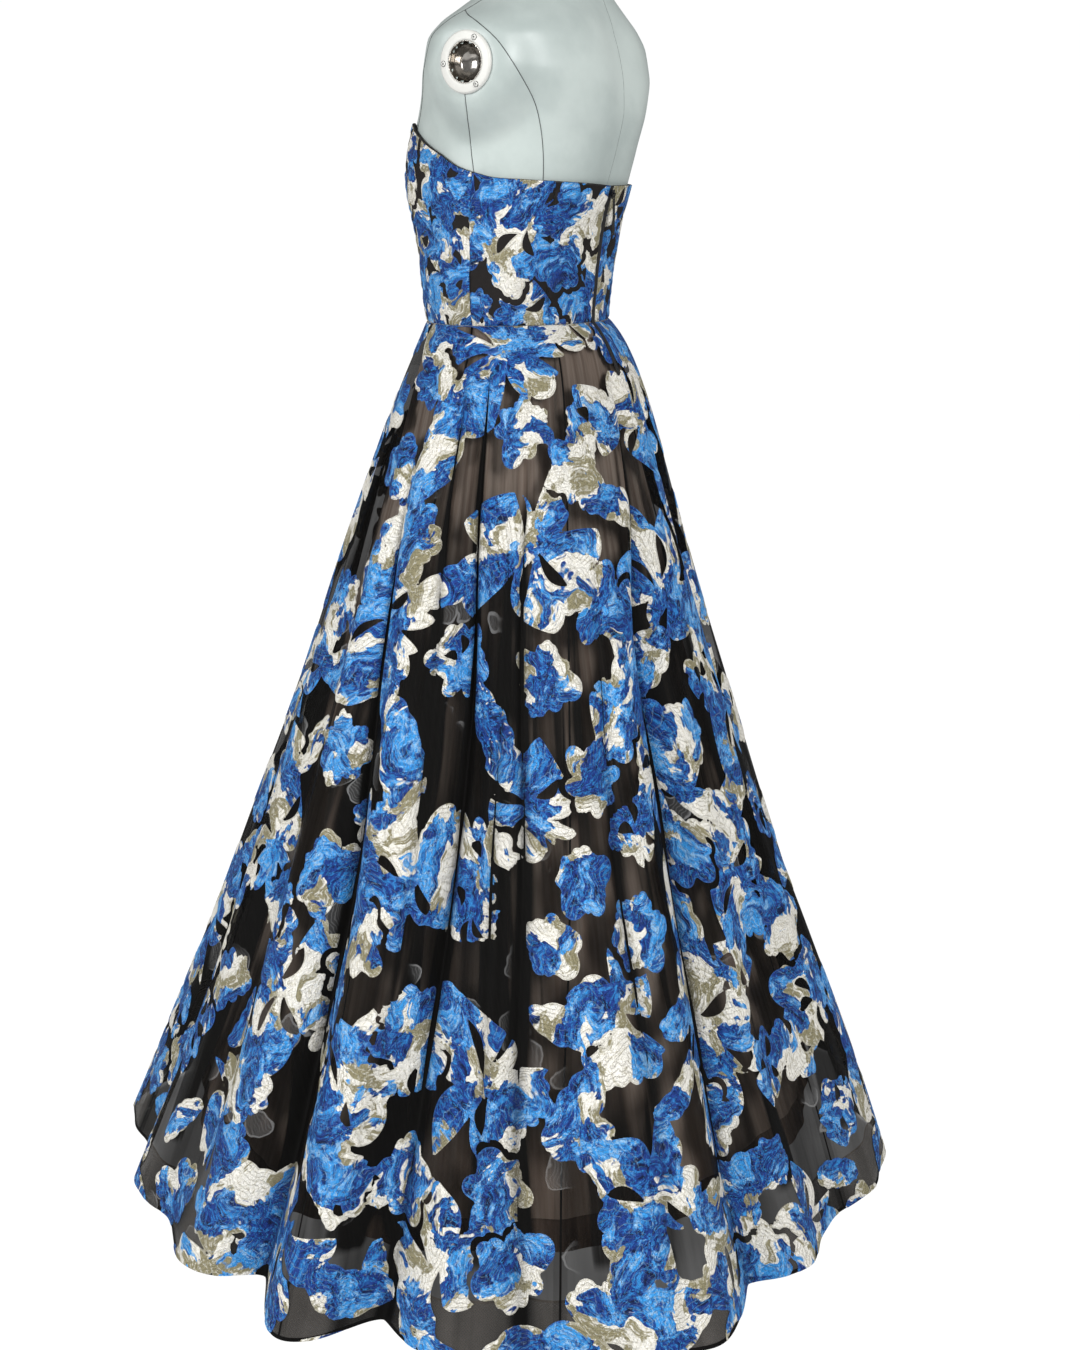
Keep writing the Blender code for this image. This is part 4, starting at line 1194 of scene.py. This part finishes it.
BODICE_LARGE = (0.046, 0.066)
BODICE_SMALL = (0.024, 0.036)
bodice_spots = scatter(random, anywhere, (-0.75, 1.60, 1.02, 1.32), 0.080, 4000)
bodice_shapes = make_clusters(random, bodice_spots, BODICE_LARGE, BODICE_SMALL)
bodice_shapes = fill_gaps(random, bodice_shapes, anywhere, (-0.75, 1.60, 1.04, 1.30), 0.017, 0.030)
shares = np.concatenate([np.linspace(0.0, 1.0, BODICE_ROWS)[:-1], [0.994, 0.998, 1.0]])[:, None]
for name, top_start, low_start, top_end, low_end, shift in BODICE_PANELS:
    wide = np.radians(max(top_end - top_start, low_end - low_start)) * BODICE_SCALE
    across = np.linspace(0.0, 1.0, int(wide / BODICE_STEP))
    across = np.unique(np.concatenate([[0.0, 0.006, 0.014], across[1:-1], [0.986, 0.994, 1.0]]))[None, :]
    start = np.radians(top_start + (low_start - top_start) * shares)
    end = np.radians(top_end + (low_end - top_end) * shares)
    angle = start + (end - start) * across
    height = top_height(angle) * (1.0 - shares) + BODICE_LOW * shares
    inset = 0.5 * GAP / BODICE_SCALE
    angle = angle + inset * (1.0 - across) - inset * across
    seam = np.minimum(across, 1.0 - across) * (end - start) * BODICE_SCALE
    groove = -0.0011 * np.exp(-(seam / 0.0014) ** 2)
    low = -0.0012 * np.exp(-((height - BODICE_LOW) / 0.0016) ** 2)
    pucker = 0.0004 * np.sin(height * 520.0) * np.exp(-(seam / 0.006) ** 2)
    out = groove + low + pucker
    place = bodice_point(angle, height, out)
    normal = unit(bodice_point(angle, height, out + 0.001) - place)
    turned = [bodice_point(angle[0], height[0] + up, out[0] - inward) for inward, up in TURNED_EDGE]
    shell = np.concatenate([np.array(turned), place])
    panel = add_mesh(name + "_cloth", shell, grid_faces(*shell.shape[:2]), GROUND, name)
    flat = np.stack([angle * BODICE_SCALE + shift, height], axis=-1)
    flat_shell = np.concatenate([flat[:1]] * len(TURNED_EDGE) + [flat])
    add_map(panel, "flat", flat_shell.reshape(-1, 2))
    field = draw_shapes(bodice_shapes, flat[..., 0].ravel(), flat[..., 1].ravel())
    field["value"] = np.minimum(field["value"], beside_zip(place))
    flowers = add_flowers(name + "_flowers", place, normal, field, flat, place.shape[:2], FLOWERS_BODICE)
    wide = line_length(place[BODICE_ROWS // 3])

# Binding: a slim roll along the top edge, open at the zip
BINDING_STEPS = 480
BINDING_SIDES = 10
opening = 0.0045 / 0.115
binding_turn = np.linspace(np.radians(-270.0) + opening, np.radians(90.0) - opening, BINDING_STEPS)
binding_rows = []
for k in range(BINDING_SIDES):
    turn = 2.0 * np.pi * k / BINDING_SIDES
    out = np.full(BINDING_STEPS, -0.0010 + 0.0015 * np.cos(turn))
    up = -0.0006 + 0.0011 * np.sin(turn)
    binding_rows.append(bodice_point(binding_turn, top_height(binding_turn) + up, out))
index = np.arange(BINDING_SIDES * BINDING_STEPS).reshape(BINDING_SIDES, BINDING_STEPS)
index = np.concatenate([index, index[:1]])
binding_faces = corner_faces(index)
binding_place = np.array(binding_rows)[::-1]
binding = add_mesh("neckline_roll", binding_place, binding_faces, BINDING, "neckline_binding")

# Lining, its under edge and the hem band
LINING_COLUMNS = 420
LINING_TURN = np.arange(LINING_COLUMNS) * 2.0 * np.pi / LINING_COLUMNS


def add_ring_cloth(name, levels, out, material, node):
    """A closed ring of lining cloth."""
    place = lining_point(LINING_TURN[None, :], levels[:, None], out)
    faces = grid_faces(len(levels), LINING_COLUMNS, True)
    piece = add_mesh(name, place, faces, material, node)
    add_map(piece, "flat", pairs(LINING_TURN[None, :] * 0.35, levels[:, None]))


lining_levels = np.concatenate([[1.0597, 1.052], np.linspace(1.040, LINING_HEM, 46)])
add_ring_cloth("lining_cloth", lining_levels, 0.0, LINING, "lining_skirt")
under_levels = np.linspace(0.130, UNDER_HEM, 14)
add_ring_cloth("lining_under_edge", under_levels, -0.0035, UNDER, None)

band_levels = np.linspace(BAND_TOP, HEM_HEIGHT, 12)
band_turn, _ = skirt_grid(band_levels)
band_tall = np.broadcast_to(band_levels[:, None], band_turn.shape)
band_place = skirt_surface(band_turn, band_tall) - skirt_normal(band_turn, band_tall) * (SKIRT_WALL + GAP)
band = add_mesh("hem_braid", band_place, grid_faces(*band_turn.shape), BRAID, "hem_band")
band_run = run_along(band_place[-1])
band_down = run_along(band_place[:, 0])[:, None]
add_map(band, "flat", pairs(band_run[None, :], band_down))
band_edge = np.minimum(band_down, band_down[-1] - band_down) + 0.0 * band_turn
add_map(band, "edge", pairs(band_edge, band_edge))
wide = float(band_run[-1])

# Form: a fine shell, open where the arm cups sink in, with thin seams
CUP_RADIUS = 0.0205
FORM_COLUMNS = 192
FORM_ROWS = 180
form_turn = (np.arange(FORM_COLUMNS) * 2.0 * np.pi / FORM_COLUMNS)[None, :]
form_place = form_point(form_turn, np.linspace(1.500, 0.780, FORM_ROWS)[:, None])
form_faces = grid_faces(FORM_ROWS, FORM_COLUMNS, True)
middle = form_place.reshape(-1, 3)[form_faces].mean(axis=1)
from_cup = np.hypot(middle[:, 1] - ARM_MIDDLE, middle[:, 2] - ARM_HEIGHT)
in_cup = (np.abs(middle[:, 0]) > 0.150) & (from_cup < CUP_RADIUS)
ring = form_place[-1]
centre = ring.mean(axis=0)
points = [form_place.reshape(-1, 3)]
for share in (0.9, 0.6, 0.3, 0.0):
    points.append(centre + (ring - centre) * share + np.array([0.0, 0.0, -0.0003 * (1.0 - share)]))
points = np.concatenate(points)
low_faces = grid_faces(5, FORM_COLUMNS, True) + (FORM_ROWS - 1) * FORM_COLUMNS
form_faces = np.concatenate([form_faces[~in_cup], low_faces])
add_mesh("form_cover", points, form_faces, VINYL, "form_torso")


def add_tube(name, path, radius, material, sides=6):
    """A round tube along a path of points, with closed ends."""
    tangent = unit(np.gradient(path, axis=0))
    side = np.cross(tangent, [0.0, 0.0, 1.0])
    flat = np.linalg.norm(side, axis=-1) < 0.05
    side[flat] = np.cross(tangent[flat], [1.0, 0.0, 0.0])
    side = unit(side)
    other = np.cross(side, tangent)
    turn = np.arange(sides) * 2.0 * np.pi / sides
    rings = []
    for k in range(len(path)):
        rings.append(path[k] + radius * (np.cos(turn)[:, None] * side[k] + np.sin(turn)[:, None] * other[k]))
    rings = np.array([np.repeat(path[:1], sides, axis=0)] + rings + [np.repeat(path[-1:], sides, axis=0)])
    add_mesh(name, rings, grid_faces(len(rings), sides, True), material)


# Seams of the form as angle and height, mirrored on the other side
FORM_SEAMS = {
    "armhole_back": [
        (-11.5, 1.388), (9.4, 1.372), (22.8, 1.353), (30.4, 1.329), (34.2, 1.306),
        (37.0, 1.282), (39.9, 1.257), (43.6, 1.216), (47.0, 1.150),
    ],
    "armhole_front": [
        (-11.5, 1.388), (-24.0, 1.368), (-33.0, 1.345), (-38.0, 1.318),
        (-41.0, 1.290), (-44.0, 1.255), (-47.0, 1.20),
    ],
    "side": [
        (5.1, 1.305), (6.6, 1.295), (7.3, 1.285), (6.8, 1.275),
        (5.6, 1.255), (6.2, 1.245), (8.1, 1.225), (9.4, 1.205),
    ],
    "shoulder": [(-11.5, 1.388), (-8.0, 1.398), (-4.0, 1.410), (2.0, 1.436), (4.0, 1.470), (4.0, 1.499)],
}
SEAM_RADIUS = 0.00050
FAINT_RADIUS = 0.00030
CENTRE_BACK = [(90.0, 1.499), (90.0, 1.40), (90.0, 1.30), (90.0, 1.18)]


def seam_path(table, mirror):
    table = np.array(table)
    steps = np.hypot(np.diff(table[:, 0]) * 0.0023, np.diff(table[:, 1]))
    run = np.concatenate([[0.0], np.cumsum(steps)])
    at = np.linspace(0.0, run[-1], 90)
    turn = np.radians(curve(run, table[:, 0], at))
    if mirror:
        turn = np.pi - turn
    return form_point(turn, curve(run, table[:, 1], at))


for name, table in FORM_SEAMS.items():
    for mirror, side in ((False, "_left"), (True, "_right")):
        add_tube("form_seam_" + name + side, seam_path(table, mirror), SEAM_RADIUS, SEAM_DARK)
add_tube("form_seam_centre_back", seam_path(CENTRE_BACK, False), FAINT_RADIUS, SEAM_FAINT)


def add_lathe(name, profile, sides, origin, axis, first, material, slot, node=None):
    """A turned shape: profile is radius and distance along axis, walked so that faces look out."""
    origin, axis, first = [np.array(v, float) for v in (origin, axis, first)]
    second = np.cross(axis, first)
    turn = np.arange(sides) * 2.0 * np.pi / sides
    rings = []
    for radius, along in profile:
        around = np.cos(turn)[:, None] * first + np.sin(turn)[:, None] * second
        rings.append(origin + axis * along + radius * around)
    add_mesh(name, np.array(rings), grid_faces(len(rings), sides, True)[:, ::-1], material, node)


def rounded(profile, radius=0.0006, steps=3):
    """A profile with its corners eased."""
    profile = [np.array(p, float) for p in profile]
    made = [profile[0]]
    for k in range(1, len(profile) - 1):
        before = profile[k - 1] - profile[k]
        after = profile[k + 1] - profile[k]
        cut = min(radius, 0.45 * np.linalg.norm(before), 0.45 * np.linalg.norm(after))
        start = profile[k] + before / max(np.linalg.norm(before), 1e-9) * cut
        end = profile[k] + after / max(np.linalg.norm(after), 1e-9) * cut
        for j in range(steps + 1):
            s = j / steps
            made.append((1 - s) ** 2 * start + 2 * s * (1 - s) * profile[k] + s ** 2 * end)
    made.append(profile[-1])
    return made


# Neck cap, arm plates, sockets and screws as radius and distance
UP = (0.0, 0.0, 1.0)
EAST = (1.0, 0.0, 0.0)
NORTH = (0.0, 1.0, 0.0)
NECK = [(0.0001, 0.016), (0.030, 0.0158), (0.048, 0.012), (0.0535, 0.006), (0.0540, 0.0), (0.0001, 0.0)]
PLATE = [
    (0.0211, -0.0002), (0.0212, 0.0034), (0.0228, 0.0042),
    (0.0300, 0.0036), (0.0315, 0.0020), (0.0315, 0.0),
]
CUP = [
    (0.0210, 0.0030), (0.0204, 0.0032), (0.0198, 0.0010), (0.0190, -0.0060),
    (0.0150, -0.0130), (0.0095, -0.0175), (0.0040, -0.0190), (0.0001, -0.0192),
]
SCREW = [
    (0.0001, 0.0003), (0.0008, 0.0003), (0.0009, 0.0011),
    (0.0028, 0.0010), (0.0031, 0.0005), (0.0031, -0.0008),
]
SCREW_CIRCLE = 0.0264
neck = rounded(NECK, 0.002)[::-1]
add_lathe("neck_cap_cover", neck, 72, (0.0, 0.029, 1.5003), UP, EAST, VINYL, "form_vinyl", "form_neck_cap")
plate = rounded(PLATE)[::-1]
cup = rounded(CUP, 0.002, 4)[::-1]
screw = rounded(SCREW, 0.0003)[::-1]
for side, name in ((1.0, "left"), (-1.0, "right")):
    origin = np.array([side * (ARM_FLAT + GAP), ARM_MIDDLE, ARM_HEIGHT])
    axis = (side, 0.0, 0.0)
    ends = ("plate_white", "arm_plate_" + name)
    add_lathe("arm_plate_ring_" + name, plate, 96, origin, axis, NORTH, WHITE_PLATE, *ends)
    ends = ("socket_chrome", "arm_socket_" + name)
    add_lathe("arm_socket_cup_" + name, cup, 72, origin, axis, NORTH, CHROME, *ends)
    for k, turn in enumerate(np.radians((62.0, 182.0, 302.0))):
        spot = origin + np.array([side * 0.0038, SCREW_CIRCLE * np.cos(turn), SCREW_CIRCLE * np.sin(turn)])
        screw_name = "plate_screw_" + name + "_" + str(k + 1)
        add_lathe(screw_name, screw, 24, spot, axis, NORTH, SCREW_METAL, "socket_chrome")

# Stand
POLE = [(0.0001, 0.0238), (0.0160, 0.0238), (0.0160, 0.7797), (0.0001, 0.7797)]
BASE = [
    (0.0001, 0.0235), (0.0240, 0.0235), (0.0280, 0.0225), (0.0320, 0.0150), (0.1500, 0.0115),
    (0.1860, 0.0085), (0.1900, 0.0050), (0.1900, 0.0), (0.0001, 0.0),
]
FOOT = (0.0, 0.005, 0.0)
pole = rounded(POLE, 0.0004)[::-1]
add_lathe("stand_pole_tube", pole, 64, FOOT, UP, EAST, STEEL, "stand_steel", "stand_pole")
base = rounded(BASE, 0.0020, 4)
add_lathe("stand_base_disc", base, 128, FOOT, UP, EAST, BASE_STEEL, "stand_steel", "stand_base")


# Zip: tape edges, a row of interlocked teeth, a slider and a long flat pull
def zip_centre(height, out):
    turn = np.array(np.pi / 2)
    height = np.array(height)
    if height > WAIST_HEIGHT + GAP:
        return bodice_point(turn, height, out)
    return skirt_surface(turn, height) + skirt_normal(turn, height) * out


zip_levels = np.linspace(ZIP_TOP, ZIP_END, 320)
zip_half = [(0.0035, 0.0003), (0.0034, 0.0008), (0.0012, 0.0010), (0.0010, 0.0005), (0.0009, 0.0011)]
zip_cross = [(-x, out) for x, out in zip_half] + zip_half[::-1]
zip_place = []
for k, height in enumerate(zip_levels):
    row = []
    for x, out in zip_cross:
        tooth = abs(x) < 0.00095
        centre = zip_centre(height, out + (0.0002 if tooth and k % 2 else 0.0))
        shiver = (0.00035 if k % 2 else -0.00035) if tooth else 0.0
        row.append(centre + np.array([x + shiver, 0.0, 0.0]))
    zip_place.append(row)
zip_faces = grid_faces(len(zip_levels), len(zip_cross))[:, ::-1]
zip_tape = add_mesh("zip_tape", np.array(zip_place), zip_faces, ZIP_TAPE, "zip_strip")


def add_bevelled(name, node, width, body):
    """A copy of a CAD solid with eased edges."""
    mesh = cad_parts[node].data.copy()
    mesh.name = name
    mesh.materials.clear()
    mesh.materials.append(ZIP_METAL)
    piece = bpy.data.objects.new(name, mesh)
    bpy.context.scene.collection.objects.link(piece)
    piece.modifiers.new("weld", "WELD").merge_threshold = 0.00001
    soft = piece.modifiers.new("bevel", "BEVEL")
    soft.width = width
    soft.segments = 3
    soft.limit_method = "ANGLE"
    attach(piece, body)
    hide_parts(node)


add_bevelled("zip_slider_body", "zip_slider", 0.0006, "gown_and_form")
add_bevelled("zip_pull_tab", "zip_pull", 0.0003, "zip_pull")


# Floor, light and camera
def plain_eye(g, through):
    """1 for what the eye sees directly and through for what it sees through sheer cloth."""
    path = g.put("ShaderNodeLightPath", {})
    direct = g.calc("LESS_THAN", path.outputs["Transparent Depth"], 0.5)
    direct = g.times_plus(direct, 1.0 - through, through)
    return g.times(path.outputs["Is Camera Ray"], direct)


floor_material, g = start_material("pale_floor")
pale = g.noise(g.own_place(), 2.0, 3.0)
g.surface(Base_Color=g.mix(pale, (0.66, 0.66, 0.66, 1.0), (0.72, 0.72, 0.72, 1.0)), Roughness=0.9)
nodes = floor_material.node_tree.nodes
glow = g.put("ShaderNodeEmission", {"Color": WHITE, "Strength": FLOOR_GLOW}).outputs[0]
lit = nodes["Principled BSDF"].outputs[0]
factor = g.times(plain_eye(g, GLOW_THROUGH_CLOTH), GLOW_SHARE)
blend = g.put("ShaderNodeMixShader", {0: factor, 1: lit, 2: glow})
g.join(nodes["Material Output"].inputs["Surface"], blend.outputs[0])
floor_points = [(-9.0, -9.0, -0.0005), (9.0, -9.0, -0.0005), (9.0, 9.0, -0.0005), (-9.0, 9.0, -0.0005)]
add_mesh("floor", floor_points, [[0, 1, 2, 3]], floor_material, body=None)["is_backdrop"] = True

world = bpy.data.worlds.new("studio")
bpy.context.scene.world = world
world.use_nodes = True
g = Graph(world.node_tree)
background = world.node_tree.nodes["Background"].inputs
background["Color"].default_value = WHITE
g.join(background["Strength"], g.spread(plain_eye(g, 0.0), AMBIENT, SEEN_GROUND))


def place_object(name, data, spot, forward):
    thing = bpy.data.objects.new(name, data)
    bpy.context.scene.collection.objects.link(thing)
    thing.location = spot
    thing.rotation_euler = forward.to_track_quat("-Z", "Y").to_euler()
    return thing


def add_light(name, spot, aim, size, power):
    data = bpy.data.lights.new(name, "AREA")
    data.shape = "RECTANGLE"
    data.size, data.size_y = size
    data.energy = power
    place_object(name, data, spot, Vector(aim) - Vector(spot))


KEY_WATTS = 102.0
FILL_WATTS = 86.0
add_light("key", (1.55, 3.2, 2.5), (0.0, 0.0, 0.9), (1.0, 2.0), KEY_WATTS)
add_light("fill", (3.4, -1.3, 1.9), (0.0, 0.0, 0.8), (1.4, 1.6), FILL_WATTS)

CAMERA_SPOT = (1.5858, 0.9528, 1.175)
AIM_TURN = np.radians(30.22)
AIM_DOWN = np.radians(16.9)
camera_data = bpy.data.cameras.new("camera")
camera_data.lens = 40.0
camera_data.sensor_width = 36.0
camera_data.sensor_fit = "AUTO"
forward = (-np.cos(AIM_TURN) * np.cos(AIM_DOWN), -np.sin(AIM_TURN) * np.cos(AIM_DOWN), -np.sin(AIM_DOWN))
bpy.context.scene.camera = place_object("camera", camera_data, CAMERA_SPOT, Vector(forward))
bpy.context.scene.view_settings.view_transform = "Standard"

low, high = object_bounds()
